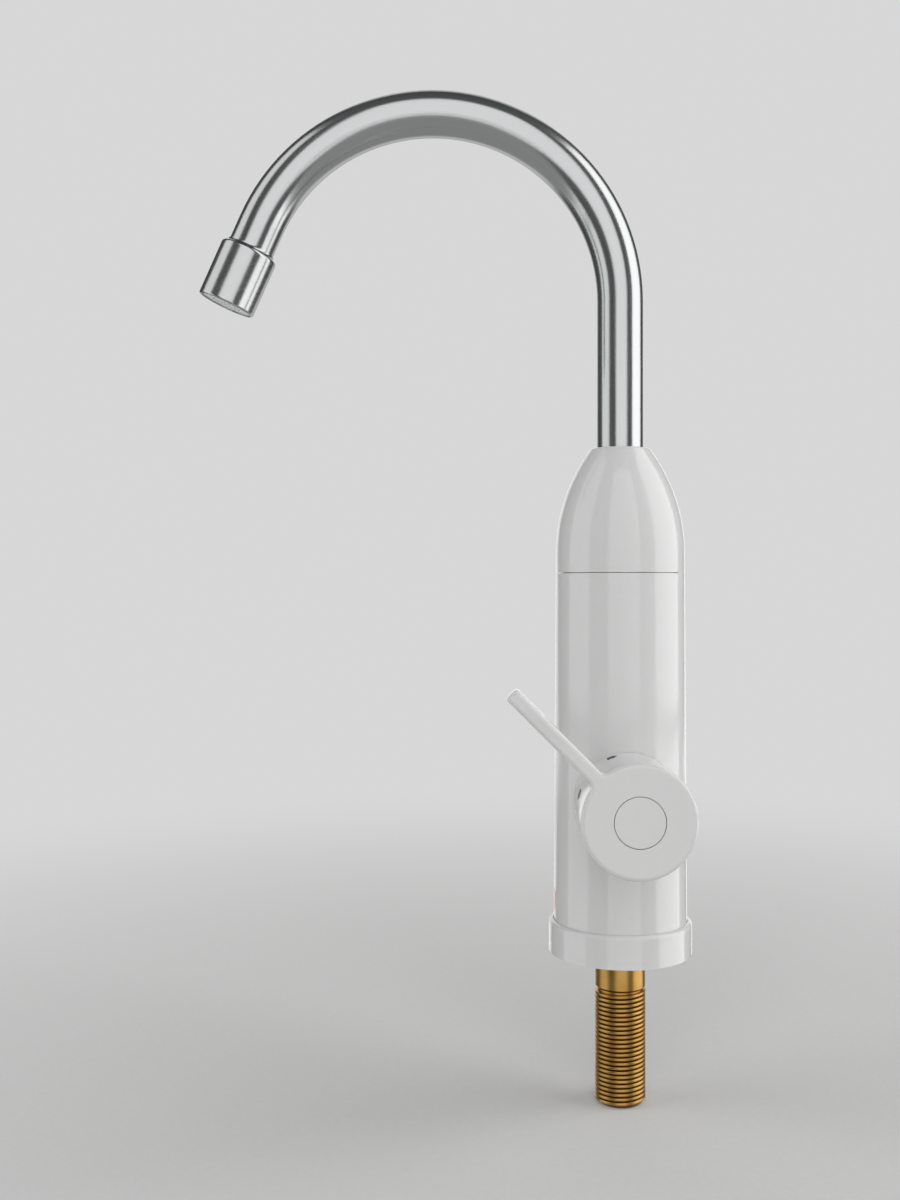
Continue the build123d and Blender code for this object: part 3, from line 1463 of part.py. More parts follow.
# Spout O-rings: two rubber rings in the sleeve's grooves
spout_ring_section = 0.71
spout_ring_mean_r = sleeve_groove_r + spout_ring_section + ring_lift
with BuildPart() as spout_o_rings:
    for low in sleeve_grooves:
        with BuildSketch(Plane.XZ):
            with Locations((spout_ring_mean_r, low + sleeve_groove_w / 2)):
                Circle(spout_ring_section)
        revolve(axis=Axis.Z)
spout_o_rings.part.label = "spout_o_rings"
export_step(spout_o_rings.part, "parts/spout_o_rings.step")

# Spout tube: bent steel tube
with BuildPart() as spout_tube:
    with BuildLine(Plane.XZ) as spout_path:
        rise = Line((0, tube_foot_z), (0, bend_z))
        bend = JernArc(start=rise @ 1, tangent=rise % 1, radius=bend_r, arc_size=bend_sweep)
        drop = Line(bend @ 1, bend @ 1 + (bend % 1) * outlet_run)
    with BuildSketch(Plane.XY.offset(tube_foot_z)):
        Circle(tube_r)
        Circle(tube_r - tube_t, mode=Mode.SUBTRACT)
    sweep()
spout_tube.part.label = "spout_tube"
export_step(spout_tube.part, "parts/spout_tube.step")

# Frame of the outlet: s runs along the tube's last stretch from the aerator's top
outlet_end = drop @ 1
outlet_dir = (drop % 1).normalized()
across = Vector(0, 1, 0).cross(outlet_dir) * -1
aerator_origin = outlet_end - outlet_dir * aerator_lap
outlet_axis = Axis(aerator_origin, outlet_dir)
outlet_plane = Plane(origin=aerator_origin, x_dir=across, z_dir=across.cross(outlet_dir))

# Aerator housing: turned steel cap with a flared neck and a rounded shoulder
washer_t = 1.5
insert_top = aerator_lap + washer_t
cap_bore_r = tube_r + seat_gap
rim_r = insert_r + seat_gap
rim_in_r = aerator_r - 0.7
rim_low = aerator_l - 0.8
with BuildPart() as aerator_housing:
    with BuildSketch(outlet_plane):
        with BuildLine():
            neck_end = (cap_bore_r + aerator_neck_t, -aerator_flare)
            waist = (aerator_r - aerator_waist[0], -aerator_waist[1])
            shoulder = (aerator_r, aerator_shoulder)
            Line((cap_bore_r, -aerator_flare), neck_end)
            TangentArc(neck_end, waist, tangent=(0, 1))
            TangentArc(waist, shoulder, tangent=(0, -1), tangent_from_first=False)
            Line(shoulder, (aerator_r, rim_low))
            TangentArc((aerator_r, rim_low), (rim_in_r, aerator_l), tangent=(0, 1))
            Line((rim_in_r, aerator_l), (rim_r, aerator_l))
            Line((rim_r, aerator_l), (rim_r, insert_top))
            Line((rim_r, insert_top), (cap_bore_r, insert_top))
            Line((cap_bore_r, insert_top), (cap_bore_r, -aerator_flare))
        make_face()
    revolve(axis=outlet_axis)
aerator_housing.part.label = "aerator_housing"
export_step(aerator_housing.part, "parts/aerator_housing.step")


def turned_outlet(points):
    return turned(points, outlet_plane, outlet_axis)


# Aerator washer: rubber ring between the tube's end and the insert
washer_r = tube_r - tube_t - 0.9
aerator_washer = turned_outlet(
    [
        (washer_r, aerator_lap),
        (tube_r, aerator_lap),
        (tube_r, insert_top),
        (washer_r, insert_top),
    ]
)
aerator_washer.label = "aerator_washer"
export_step(aerator_washer, "parts/aerator_washer.step")

# Aerator insert: pale cup whose face has rings of spray holes
insert_end = aerator_l - insert_recess
insert_floor = insert_end - insert_t
insert_in_r = insert_r - 2.0
spray_pitch = 1.9
with BuildPart() as aerator_insert:
    add(
        turned_outlet(
            [
                (0, insert_floor),
                (insert_in_r, insert_floor),
                (insert_in_r, insert_top),
                (insert_r, insert_top),
                (insert_r, insert_end),
                (0, insert_end),
            ]
        )
    )
    face_plane = Plane(origin=aerator_origin + outlet_dir * insert_end, x_dir=across, z_dir=outlet_dir)
    with BuildSketch(face_plane):
        Circle(spray_hole_r)
        for ring in (1, 2, 3):
            with PolarLocations(ring * spray_pitch, ring * 6):
                Circle(spray_hole_r)
    extrude(amount=-insert_t, mode=Mode.SUBTRACT)
aerator_insert.part.label = "aerator_insert"
export_step(aerator_insert.part, "parts/aerator_insert.step")

# Wiring bracket: folded steel plate on the base plate
bracket_top_z = block_z + block_h + 1.0
tab_w = 16.0
tab_l = 5.2
with BuildPart() as wiring_bracket:
    with BuildSketch(Plane.XY.offset(plate_top_z)):
        with Locations((0, bracket_y + tab_l / 2)):
            Rectangle(tab_w, tab_l)
    extrude(amount=bracket_t)
    with BuildSketch(Plane.XY.offset(plate_top_z)):
        with Locations((0, bracket_y + bracket_t / 2)):
            Rectangle(block_w, bracket_t)
    extrude(amount=bracket_top_z - plate_top_z)
wiring_bracket.part.label = "wiring_bracket"
export_step(wiring_bracket.part, "parts/wiring_bracket.step")

# Terminal block: three poles on the bracket
block_y = bracket_y + bracket_t
poles = (-pole_pitch, 0, pole_pitch)
pole_y = block_y + block_d / 2
block_front_y = block_y + block_d
clamp_r = 1.6
clamp_deep = 3.0
clamp_l = 2.4
clamps = []
for x in poles:
    clamps.append((x, block_z + 4.0))
    clamps.append((x, block_z + 10.0))
with BuildPart() as terminal_block:
    with BuildSketch(Plane.XY.offset(block_z)):
        with Locations((0, pole_y)):
            Rectangle(block_w, block_d)
    extrude(amount=block_h)
    with BuildSketch(front_plane(-block_front_y)):
        with Locations(*clamps):
            Circle(clamp_r + seat_gap)
    extrude(amount=clamp_deep, mode=Mode.SUBTRACT)
terminal_block.part.label = "terminal_block"
export_step(terminal_block.part, "parts/terminal_block.step")

# Terminal screws: six clamp screws in the block
with BuildPart() as terminal_screws:
    with BuildSketch(front_plane(clamp_deep - block_front_y)):
        with Locations(*clamps):
            Circle(clamp_r)
    extrude(amount=-clamp_l)
terminal_screws.part.label = "terminal_screws"
export_step(terminal_screws.part, "parts/terminal_screws.step")

# Earth screw: on the back of the brass valve body
earth_z = handle_z - 4.5
earth_head_t = 2.2
with BuildPart() as earth_screw:
    with BuildSketch(front_plane(-valve_back)):
        with Locations((pole_pitch, earth_z)):
            Circle(screw_head_r)
    extrude(amount=-earth_head_t)
earth_screw.part.label = "earth_screw"
export_step(earth_screw.part, "parts/earth_screw.step")


def wire(radius, bends, *points):
    """One insulated wire along straight runs joined by arcs."""
    with BuildPart() as lead:
        with BuildLine() as route:
            FilletPolyline(*points, radius=bends)
        with BuildSketch(Plane(origin=route.line @ 0, z_dir=route.line % 0)):
            Circle(radius)
        sweep()
    return lead.part


# Mains wires: live to the microswitch, neutral to the element, earth to the valve
block_top_z = block_z + block_h
pin_z = element_low_z - 3.0
pin_end_y = element_dy + pin_r + lapped_gap
live_end_x = heater_x - micro_l / 2 - blade_l - lapped_gap
live_x = heater_x - switch_r - wire_r - 2 * free_gap
live_y = 16.0
live_side_y = 5.0
live_bends = (10.0, 12.0, 5.0, 4.0)
live_route = (
    (poles[0], pole_y, block_top_z),
    (poles[0], pole_y, earth_z),
    (live_x + pole_pitch, live_y, outlet_top_z - 5.0),
    (live_x, live_side_y, switch_split_z + 1.0),
    (live_x, 0, switch_pole_z),
    (live_end_x, 0, switch_pole_z),
)
neutral_x = legs[0][0]
rear_y = 19.0
neutral_bends = (20.0, 8.0, 5.0)
neutral_route = (
    (poles[1], pole_y, block_top_z),
    (poles[1], pole_y, handle_z + 3.5),
    (neutral_x, rear_y, outlet_top_z + 5.0),
    (neutral_x, rear_y, pin_z),
    (neutral_x, pin_end_y, pin_z),
)
earth_bend = 3.5
earth_route = (
    (poles[2], pole_y, block_top_z),
    (poles[2], pole_y, earth_z),
    (poles[2], valve_back + earth_head_t + lapped_gap, earth_z),
)
with BuildPart() as mains_wires:
    add(wire(wire_r, live_bends, *live_route))
    add(wire(wire_r, neutral_bends, *neutral_route))
    add(wire(wire_r, earth_bend, *earth_route))
mains_wires.part.label = "mains_wires"
export_step(mains_wires.part, "parts/mains_wires.step")

# Heater wires: microswitch to cutout, and cutout to the element's second leg
cutout_pole_z = blade_low_z - lapped_gap
heater_bend = 5.0
switch_route = (
    (heater_x, micro_w / 2 + blade_l + lapped_gap, switch_pole_z),
    (heater_x, blade_y, switch_pole_z),
    (-blade_x, blade_y, cutout_pole_z),
)
cutout_route = (
    (blade_x, blade_y, cutout_pole_z),
    (blade_x, blade_y, pin_z),
    (legs[1][0], pin_end_y, pin_z),
)
with BuildPart() as heater_wires:
    add(wire(wire_r, heater_bend, *switch_route))
    add(wire(wire_r, heater_bend, *cutout_route))
heater_wires.part.label = "heater_wires"
export_step(heater_wires.part, "parts/heater_wires.step")

# Indicator leads: two thin leads side by side from the block to the lamp
lamp_back_x = lamp_foot_x + lamp_flange_t + lapped_gap
block_side_x = -block_w / 2
lead_out = 3.2
lead_pole_z = block_z + 5.0
lead_bends = (2.5, 5.0, 2.5)
with BuildPart() as indicator_leads:
    for side in (-1, 1):
        lead_route = (
            (lamp_back_x, side, lens_z),
            (lamp_back_x + lead_out, side, lens_z),
            (block_side_x - 3.0, bracket_y - 2.0, lens_z + 6.0 + side),
            (block_side_x - lead_out, pole_y, lead_pole_z + side),
            (block_side_x - lapped_gap, pole_y, lead_pole_z + side),
        )
        add(wire(lead_r, lead_bends, *lead_route))
indicator_leads.part.label = "indicator_leads"
export_step(indicator_leads.part, "parts/indicator_leads.step")

print("cover top radius", round(cover_top_r, 2))
print("outlet end", outlet_end)
print("parts", len(os.listdir("parts")))
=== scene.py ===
from math import cos, pi, radians, sin, tan

import bpy
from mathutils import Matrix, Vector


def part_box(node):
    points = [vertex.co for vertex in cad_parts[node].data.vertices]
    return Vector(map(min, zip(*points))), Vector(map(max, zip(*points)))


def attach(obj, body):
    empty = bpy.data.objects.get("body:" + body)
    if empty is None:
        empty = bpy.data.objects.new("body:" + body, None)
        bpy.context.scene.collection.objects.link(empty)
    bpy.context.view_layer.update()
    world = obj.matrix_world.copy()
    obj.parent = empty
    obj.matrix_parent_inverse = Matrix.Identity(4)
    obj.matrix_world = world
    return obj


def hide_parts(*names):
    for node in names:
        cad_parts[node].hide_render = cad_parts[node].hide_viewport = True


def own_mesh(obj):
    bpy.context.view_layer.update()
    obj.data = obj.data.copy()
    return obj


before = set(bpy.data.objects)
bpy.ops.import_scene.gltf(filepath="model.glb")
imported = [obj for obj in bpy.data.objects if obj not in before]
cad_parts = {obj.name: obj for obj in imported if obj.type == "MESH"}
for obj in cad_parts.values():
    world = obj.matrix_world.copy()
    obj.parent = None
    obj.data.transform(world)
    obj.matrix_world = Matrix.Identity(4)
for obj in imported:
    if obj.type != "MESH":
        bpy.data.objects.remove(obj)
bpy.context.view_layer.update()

# Studio floor and backdrop: one sheet of matt painted board, flat under the tap and
# swept up behind it. It looks pale and even all round, and keeps the tap's shadow
# near its foot.
MM = 0.001
floor_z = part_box("inlet_shank")[0].z
floor_half = 3.0
sweep_y = 0.9
sweep_r = 0.6
sweep_steps = 24
wall_rise = 2.4
bpy.ops.object.select_all(action="DESELECT")
bpy.ops.mesh.primitive_plane_add(
    size=2 * floor_half, location=(0, sweep_y - floor_half, floor_z)
)
backdrop = bpy.context.object
backdrop.name = "studio_backdrop"
bpy.ops.object.transform_apply(location=True)
bpy.ops.object.mode_set(mode="EDIT")
bpy.ops.mesh.select_all(action="DESELECT")
bpy.ops.object.mode_set(mode="OBJECT")
for edge in backdrop.data.edges:
    ends = [backdrop.data.vertices[v].co for v in edge.vertices]
    edge.select = all(end.y > sweep_y - sweep_r for end in ends)
for vertex in backdrop.data.vertices:
    vertex.select = vertex.co.y > sweep_y - sweep_r
bpy.ops.object.mode_set(mode="EDIT")
bpy.ops.mesh.spin(
    steps=sweep_steps, angle=-pi / 2, center=(0, sweep_y, floor_z + sweep_r), axis=(1, 0, 0)
)
bpy.ops.mesh.extrude_region_move(TRANSFORM_OT_translate={"value": (0, 0, wall_rise)})
bpy.ops.object.mode_set(mode="OBJECT")
bpy.ops.object.shade_smooth()


def linear(colour):
    """Turns an sRGB hex value into linear red, green and blue, with a full alpha."""
    parts = [int(colour[i:i + 2], 16) / 255 for i in (1, 3, 5)]
    light = [c / 12.92 if c <= 0.04045 else ((c + 0.055) / 1.055) ** 2.4 for c in parts]
    return (*light, 1.0)


def add_node(tree, kind, values=None, links=None, **settings):
    """Adds a shader node, with its settings, its values and what its inputs read."""
    made = tree.nodes.new(kind)
    for name, value in settings.items():
        setattr(made, name, value)
    for socket, value in (values or {}).items():
        made.inputs[socket].default_value = value
    for socket, (source, output) in (links or {}).items():
        tree.links.new(source.outputs[output], made.inputs[socket])
    return made


grain_span = (0.3, 0.7)


def finish(name, tints, polish, grain_mm, relief_mm=0.0, run=(1, 1, 1), **values):
    """A material whose tint, roughness and relief follow one grain of a real size.

    Gives the tree, the shader, the place on the object and the grain, so that a
    section can add what its own finish needs.
    """
    material = bpy.data.materials.new(name)
    material.use_nodes = True
    tree = material.node_tree
    shader = tree.nodes["Principled BSDF"]
    for socket, value in values.items():
        shader.inputs[socket.replace("_", " ")].default_value = value
    place = add_node(tree, "ShaderNodeTexCoord")
    laid = add_node(
        tree, "ShaderNodeMapping", {"Scale": run}, {"Vector": (place, "Object")}
    )
    grain = add_node(
        tree, "ShaderNodeTexNoise", {"Scale": 1 / (grain_mm * MM), "Detail": 3.0},
        {"Vector": (laid, "Vector")},
    )
    tint = add_node(tree, "ShaderNodeValToRGB", links={"Fac": (grain, "Fac")})
    for stop, position, colour in zip(tint.color_ramp.elements, grain_span, tints):
        stop.position = position
        stop.color = linear(colour)
    tree.links.new(tint.outputs["Color"], shader.inputs["Base Color"])
    gloss = add_node(
        tree, "ShaderNodeMapRange",
        {
            "From Min": grain_span[0], "From Max": grain_span[1],
            "To Min": polish[0], "To Max": polish[1],
        },
        {"Value": (grain, "Fac")},
    )
    tree.links.new(gloss.outputs["Result"], shader.inputs["Roughness"])
    if relief_mm:
        relief = add_node(
            tree, "ShaderNodeBump", {"Strength": 1.0, "Distance": relief_mm * MM},
            {"Height": (grain, "Fac")},
        )
        tree.links.new(relief.outputs["Normal"], shader.inputs["Normal"])
    return material, tree, shader, place, grain


wall_glow = 0.68
shadow_reach = (0.05, 0.8)
pale_at_foot = 0.1
board, tree, paint, place, _ = finish(
    "matt painted board", ("#DCDCDB", "#DFDFDE"), (0.85, 0.95), 3.0, Specular_IOR_Level=0.2
)
split = add_node(tree, "ShaderNodeSeparateXYZ", links={"Vector": (place, "Object")})
flat = add_node(tree, "ShaderNodeCombineXYZ", links={"X": (split, "X"), "Y": (split, "Y")})
reach = add_node(tree, "ShaderNodeVectorMath", links={0: (flat, 0)}, operation="LENGTH")
away = add_node(
    tree, "ShaderNodeMapRange",
    {"From Min": shadow_reach[0], "From Max": shadow_reach[1], "To Min": pale_at_foot},
    {"Value": (reach, "Value")},
    interpolation_type="SMOOTHSTEP",
)
rays = add_node(tree, "ShaderNodeLightPath")
seen = add_node(
    tree, "ShaderNodeMath", links={0: (rays, "Is Camera Ray"), 1: (away, "Result")},
    operation="MULTIPLY",
)
pale = add_node(tree, "ShaderNodeEmission", {"Color": (1, 1, 1, 1), "Strength": wall_glow})
shown = add_node(
    tree, "ShaderNodeMixShader",
    links={0: (seen, 0), 1: (paint, "BSDF"), 2: (pale, "Emission")},
)

# Mirrored board: metal and gloss see a white wall between two dim flags, and a floor
# that mirrors the softboxes at a low angle, so that their bands run down to the foot.
wall_mirror = 1.15
wall_half = (0.6, 0.95)
wall_start = (0.35, 0.9)
flag_glow = 0.115
floor_glow = 0.42
skim_from = (0.56, 0.68)
skim_polish = 0.05
aside = add_node(tree, "ShaderNodeMath", links={0: (split, "X")}, operation="ABSOLUTE")
wall_seen = add_node(
    tree, "ShaderNodeMapRange",
    {
        "From Min": wall_half[0], "From Max": wall_half[1],
        "To Min": wall_mirror, "To Max": flag_glow,
    },
    {"Value": (aside, 0)},
    interpolation_type="SMOOTHSTEP",
)
far = add_node(
    tree, "ShaderNodeMapRange", {"From Min": wall_start[0], "From Max": wall_start[1]},
    {"Value": (split, "Y")},
    interpolation_type="SMOOTHSTEP",
)
seen_glow = add_node(
    tree, "ShaderNodeMix", {"A": floor_glow},
    {"Factor": (far, "Result"), "B": (wall_seen, "Result")},
    data_type="FLOAT",
)
glow = add_node(
    tree, "ShaderNodeEmission", {"Color": (1, 1, 1, 1)}, {"Strength": (seen_glow, "Result")}
)
facing = add_node(tree, "ShaderNodeLayerWeight", {"Blend": 0.5})
low_angle = add_node(
    tree, "ShaderNodeMapRange", {"From Min": skim_from[0], "From Max": skim_from[1]},
    {"Value": (facing, "Facing")},
    interpolation_type="SMOOTHSTEP",
)
near = add_node(
    tree, "ShaderNodeMath", {0: 1.0}, {1: (far, "Result")}, operation="SUBTRACT"
)
skims = add_node(
    tree, "ShaderNodeMath", links={0: (low_angle, "Result"), 1: (near, 0)},
    operation="MULTIPLY",
)
polish = add_node(
    tree, "ShaderNodeBsdfGlossy", {"Color": (1, 1, 1, 1), "Roughness": skim_polish}
)
ground = add_node(
    tree, "ShaderNodeMixShader",
    links={0: (skims, 0), 1: (glow, "Emission"), 2: (polish, "BSDF")},
)
mirrored = add_node(
    tree, "ShaderNodeMath",
    links={0: (rays, "Is Glossy Ray"), 1: (rays, "Is Transmission Ray")},
    operation="MAXIMUM",
)
blend = add_node(
    tree, "ShaderNodeMixShader",
    links={0: (mirrored, 0), 1: (shown, "Shader"), 2: (ground, "Shader")},
)
tree.links.new(blend.outputs["Shader"], tree.nodes["Material Output"].inputs["Surface"])
backdrop.data.materials.append(board)

# Studio light: a tall softbox on each side of the tap and one in front of it, each
# a flat cloth panel with its bearing and half width in degrees and how bright it
# looks. The room between them is dim, so that steel shows pale and dark bands.
softboxes = (
    ("left", -84.5, 22.5, 1.15),
    ("front", 0.7, 27.7, 1.25),
    ("right", 86.4, 29.0, 1.95),
)
box_distance = 1.5
box_low = -0.04
box_high = 2.75
for side, bearing, half_width, bright in softboxes:
    cloth = bpy.data.lights.new("softbox_" + side, "AREA")
    cloth.shape = "RECTANGLE"
    cloth.size = 2 * box_distance * tan(radians(half_width))
    cloth.size_y = box_high - box_low
    cloth.energy = bright * pi * cloth.size * cloth.size_y
    softbox = bpy.data.objects.new("softbox_" + side, cloth)
    turn = radians(bearing)
    softbox.location = (
        box_distance * sin(turn), -box_distance * cos(turn), (box_low + box_high) / 2
    )
    softbox.rotation_euler = (pi / 2, 0, turn)
    softbox.visible_camera = False
    bpy.context.scene.collection.objects.link(softbox)

room = bpy.data.worlds.new("dim_studio_room")
room.use_nodes = True
tree = room.node_tree
dim = tree.nodes["Background"]
dim.inputs["Color"].default_value = linear("#5F6060")
rays = add_node(tree, "ShaderNodeLightPath")
haze = add_node(
    tree, "ShaderNodeBackground", {"Color": (1, 1, 1, 1), "Strength": wall_glow}
)
around = add_node(
    tree, "ShaderNodeMixShader",
    links={0: (rays, "Is Camera Ray"), 1: (dim, "Background"), 2: (haze, "Background")},
)
tree.links.new(around.outputs["Shader"], tree.nodes["World Output"].inputs["Surface"])
bpy.context.scene.world = room
bpy.context.scene.view_settings.view_transform = "Standard"

# Camera: it stands level in front of the tap and a little left of it, at the height
# of the top of the body. The frame is cut so that the tap stands right of its middle.
camera_mm = (-60.4, -523.5, 150.9)
focal_px = 1259.3
level_px = (474.7, 586.1)
frame_px = (900, 1200)
optics = bpy.data.cameras.new("camera")
optics.lens = focal_px * optics.sensor_width / frame_px[1]
optics.shift_x = (frame_px[0] / 2 - level_px[0]) / frame_px[1]
optics.shift_y = (level_px[1] - frame_px[1] / 2) / frame_px[1]
optics.clip_start = 0.01
camera = bpy.data.objects.new("camera", optics)
camera.location = [side * MM for side in camera_mm]
camera.rotation_euler = (pi / 2, 0, 0)
bpy.context.scene.collection.objects.link(camera)
bpy.context.scene.camera = camera


def dress(finished, *nodes):
    """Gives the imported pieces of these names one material."""
    for name in nodes:
        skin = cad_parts[name].data
        skin.materials.clear()
        skin.materials.append(finished)


# Inlet shank: turned from brass bar, its thread rolled on, and screwed through the
# deck. Its grooves are painted dark brown as painted shade, less so by the plain part,
# and the crests keep the brass colour. The lathe's fine rings run round it.
groove_r = 9.3
crest_r = 9.8
run_out_z = (-17.4, -16.4)
run_out_unshaded = 0.7
groove_shade_end = 0.8
stain_mm = 6
shank_brass, tree, shader, place, _ = finish(
    "turned brass", ("#BC9757", "#BC9757"), (0.28, 0.38), 0.25, 0.004, (0.02, 0.02, 1),
    Metallic=1.0,
)
split = add_node(tree, "ShaderNodeSeparateXYZ", links={"Vector": (place, "Object")})
across = add_node(
    tree, "ShaderNodeCombineXYZ", links={"X": (split, "X"), "Y": (split, "Y")}
)
reach = add_node(tree, "ShaderNodeVectorMath", links={0: (across, 0)}, operation="LENGTH")
# Painted shade: below the crest radius the colour darkens towards brown, fully in the
# grooves.
crest_unshaded = add_node(
    tree, "ShaderNodeMapRange", {"From Min": groove_r * MM, "From Max": crest_r * MM},
    {"Value": (reach, "Value")},
)
# The painted groove shade is partly lifted just under the plain part, above the top groove.
run_out = add_node(
    tree, "ShaderNodeMapRange",
    {
        "From Min": run_out_z[0] * MM, "From Max": run_out_z[1] * MM,
        "To Max": run_out_unshaded,
    },
    {"Value": (split, "Z")},
)
unshaded = add_node(
    tree, "ShaderNodeMath", links={0: (crest_unshaded, "Result"), 1: (run_out, "Result")},
    operation="MAXIMUM",
)
# Painted groove shade: dark brown in the grooves, brass colour on the crests.
groove_shade = add_node(tree, "ShaderNodeValToRGB", links={"Fac": (unshaded, 0)})
groove_shade.color_ramp.elements[0].color = linear("#6B4426")
groove_shade.color_ramp.elements[1].position = groove_shade_end
groove_shade.color_ramp.elements[1].color = linear("#BC9757")
stain = add_node(
    tree, "ShaderNodeTexNoise", {"Scale": 1 / (stain_mm * MM), "Detail": 3.0},
    {"Vector": (place, "Object")},
)
patches = add_node(tree, "ShaderNodeValToRGB", links={"Fac": (stain, "Fac")})
for stop, position, colour in zip(
    patches.color_ramp.elements, grain_span, ("#F0E4CF", "#FFFFFF")
):
    stop.position = position
    stop.color = linear(colour)
worn = add_node(
    tree, "ShaderNodeMix", {"Factor": 1.0}, data_type="RGBA", blend_type="MULTIPLY"
)
tree.links.new(groove_shade.outputs["Color"], worn.inputs["A"])
tree.links.new(patches.outputs["Color"], worn.inputs["B"])
tree.links.new(worn.outputs["Result"], shader.inputs["Base Color"])
dress(shank_brass, "inlet_shank")

# Base plate, wiring bracket, hose clips and strainer: cut and pressed from sheet
# steel with a dull zinc coat, whose crystals show as faint patches.
zinc_sheet = finish("zinc-coated sheet steel", ("#9EA1A4", "#B4B7B9"), (0.34, 0.46), 4.0,
                    Metallic=1.0)[0]
dress(zinc_sheet, "base_plate", "wiring_bracket", "hose_clips", "inlet_strainer")

# Screws: headed and rolled from drawn steel wire, then plated with bright zinc,
# which is pale and a little uneven.
zinc_plate = finish("bright zinc plating", ("#95989C", "#A6A9AD"), (0.26, 0.38), 0.4, 0.002,
                    Metallic=1.0)[0]
dress(
    zinc_plate, "base_screws", "handle_screw", "flow_switch_screws", "vessel_screws",
    "cutout_screws", "cover_screws", "terminal_screws", "earth_screw",
)

# Pusher spring: three turns of wire with the screws' plating, wound cold, between
# the pusher and the flow switch's cover. It shortens as water lifts the pusher.
spring_wire_r = 0.25
spring_turns = 3
wire_sides = 12
steps_a_turn = 32
bend_kept_smooth = 40
wound_low, wound_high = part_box("pusher_spring")
spring_middle = (wound_low + wound_high) / 2
coil_r = (wound_high.x - wound_low.x) / 2 - spring_wire_r * MM
coil_rise = wound_high.z - wound_low.z - 2 * spring_wire_r * MM
bpy.ops.object.select_all(action="DESELECT")
bpy.ops.mesh.primitive_circle_add(
    vertices=wire_sides, radius=spring_wire_r * MM, location=(coil_r, 0, 0),
    rotation=(pi / 2, 0, 0),
)
spring = bpy.context.object
spring.name = "wound_spring"
bpy.ops.object.transform_apply(location=True, rotation=True)
winding = spring.modifiers.new("winding", "SCREW")
winding.steps = steps_a_turn
winding.render_steps = steps_a_turn
winding.iterations = spring_turns
winding.screw_offset = coil_rise / spring_turns
bpy.ops.object.modifier_apply(modifier=winding.name)
spring.location = (spring_middle.x, spring_middle.y, wound_low.z + spring_wire_r * MM)
bpy.ops.object.transform_apply(location=True)
bpy.ops.object.mode_set(mode="EDIT")
bpy.ops.mesh.select_all(action="SELECT")
bpy.ops.mesh.fill_holes(sides=0)
bpy.ops.mesh.select_all(action="SELECT")
bpy.ops.mesh.normals_make_consistent(inside=False)
bpy.ops.object.mode_set(mode="OBJECT")
bpy.ops.object.shade_smooth_by_angle(angle=radians(bend_kept_smooth))
spring.data.materials.append(zinc_plate)
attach(spring, "heater")
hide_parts("pusher_spring")
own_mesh(spring)

# Seals, flow diaphragm and cord gland: black EPDM rubber from heated moulds, matt
# with a fine grey bloom.
moulded_rubber = finish("black moulded rubber", ("#171718", "#242425"), (0.55, 0.75), 1.2,
                        0.02, IOR=1.5)[0]
dress(
    moulded_rubber, "base_seal", "shank_o_ring", "spindle_o_rings", "vessel_o_ring",
    "spout_o_rings", "aerator_washer", "cord_gland", "cartridge_seal", "flow_diaphragm",
)

# Valve body: brass, cast in sand and drilled. The outside keeps the sand's grain.
cast_brass = finish("sand-cast brass", ("#9C7A3E", "#BE9C5A"), (0.42, 0.6), 0.7, 0.05,
                    Metallic=1.0)[0]
dress(cast_brass, "valve_body")

# Valve cartridge: its spindle and nut are turned from brass bar, and so are the
# element's bushes and nuts. They are left bright, with the tool's fine marks.
bar_brass = finish("bright turned brass", ("#BE9A4E", "#CFAB60"), (0.22, 0.34), 0.6, 0.004,
                   Metallic=1.0)[0]
dress(bar_brass, "cartridge_spindle", "cartridge_nut", "element_bushes", "element_nuts")

# Cartridge discs: sintered alumina, lapped flat against each other, so they are
# satin and very even.
lapped_alumina = finish("lapped alumina", ("#DFDCD4", "#E5E2DB"), (0.26, 0.36), 0.2, 0.001,
                        IOR=1.76)[0]
dress(lapped_alumina, "ceramic_disc_fixed", "ceramic_disc_moving")

# Water parts: cartridge and flow housings, heater vessel and lid, spout socket,
# sleeve and nut, and the terminal block. They are moulded in glass-filled nylon,
# whose fibres leave fine streaks along the flow.
glass_nylon = finish("glass-filled nylon", ("#C8C1AF", "#D6D1C2"), (0.38, 0.55), 0.8, 0.01,
                     (1, 1, 0.2), IOR=1.53)[0]
dress(
    glass_nylon, "cartridge_housing", "flow_switch_body", "flow_switch_cover",
    "switch_pusher", "heater_vessel", "heater_lid", "spout_socket", "spout_nut",
    "spout_sleeve", "terminal_block",
)

# Microswitch, its button and the thermal cutout: black thermoset, pressed in hot
# moulds, slightly speckled by its filler.
thermoset = finish("black thermoset", ("#1F1F21", "#2E2E30"), (0.34, 0.5), 0.5, 0.003,
                   IOR=1.55)[0]
dress(thermoset, "microswitch", "switch_button", "thermal_cutout")

# Hot hose: extruded silicone, cloudy and half clear, pushed over two barbs. The
# die leaves faint lines along it.
cloudy_silicone = finish("cloudy silicone rubber", ("#C9C4B9", "#D5D1C8"), (0.35, 0.5), 0.5,
                         0.01, (1, 1, 0.03), IOR=1.41, Transmission_Weight=0.3)[0]
dress(cloudy_silicone, "hot_hose")

# Heating element: a stainless sheath packed with powder, drawn, bent and dried in a
# furnace, which leaves it dull and unevenly grey.
furnace_steel = finish("furnace-dulled stainless steel", ("#7F7C76", "#9B9994"),
                       (0.35, 0.5), 2.5, Metallic=1.0)[0]
dress(furnace_steel, "heating_element")

# Cold pipe: drawn copper tube, bent and soldered in, lightly tarnished.
drawn_copper = finish("drawn copper", ("#A05F40", "#C4825F"), (0.28, 0.42), 5.0,
                      Metallic=1.0)[0]
dress(drawn_copper, "cold_pipe")

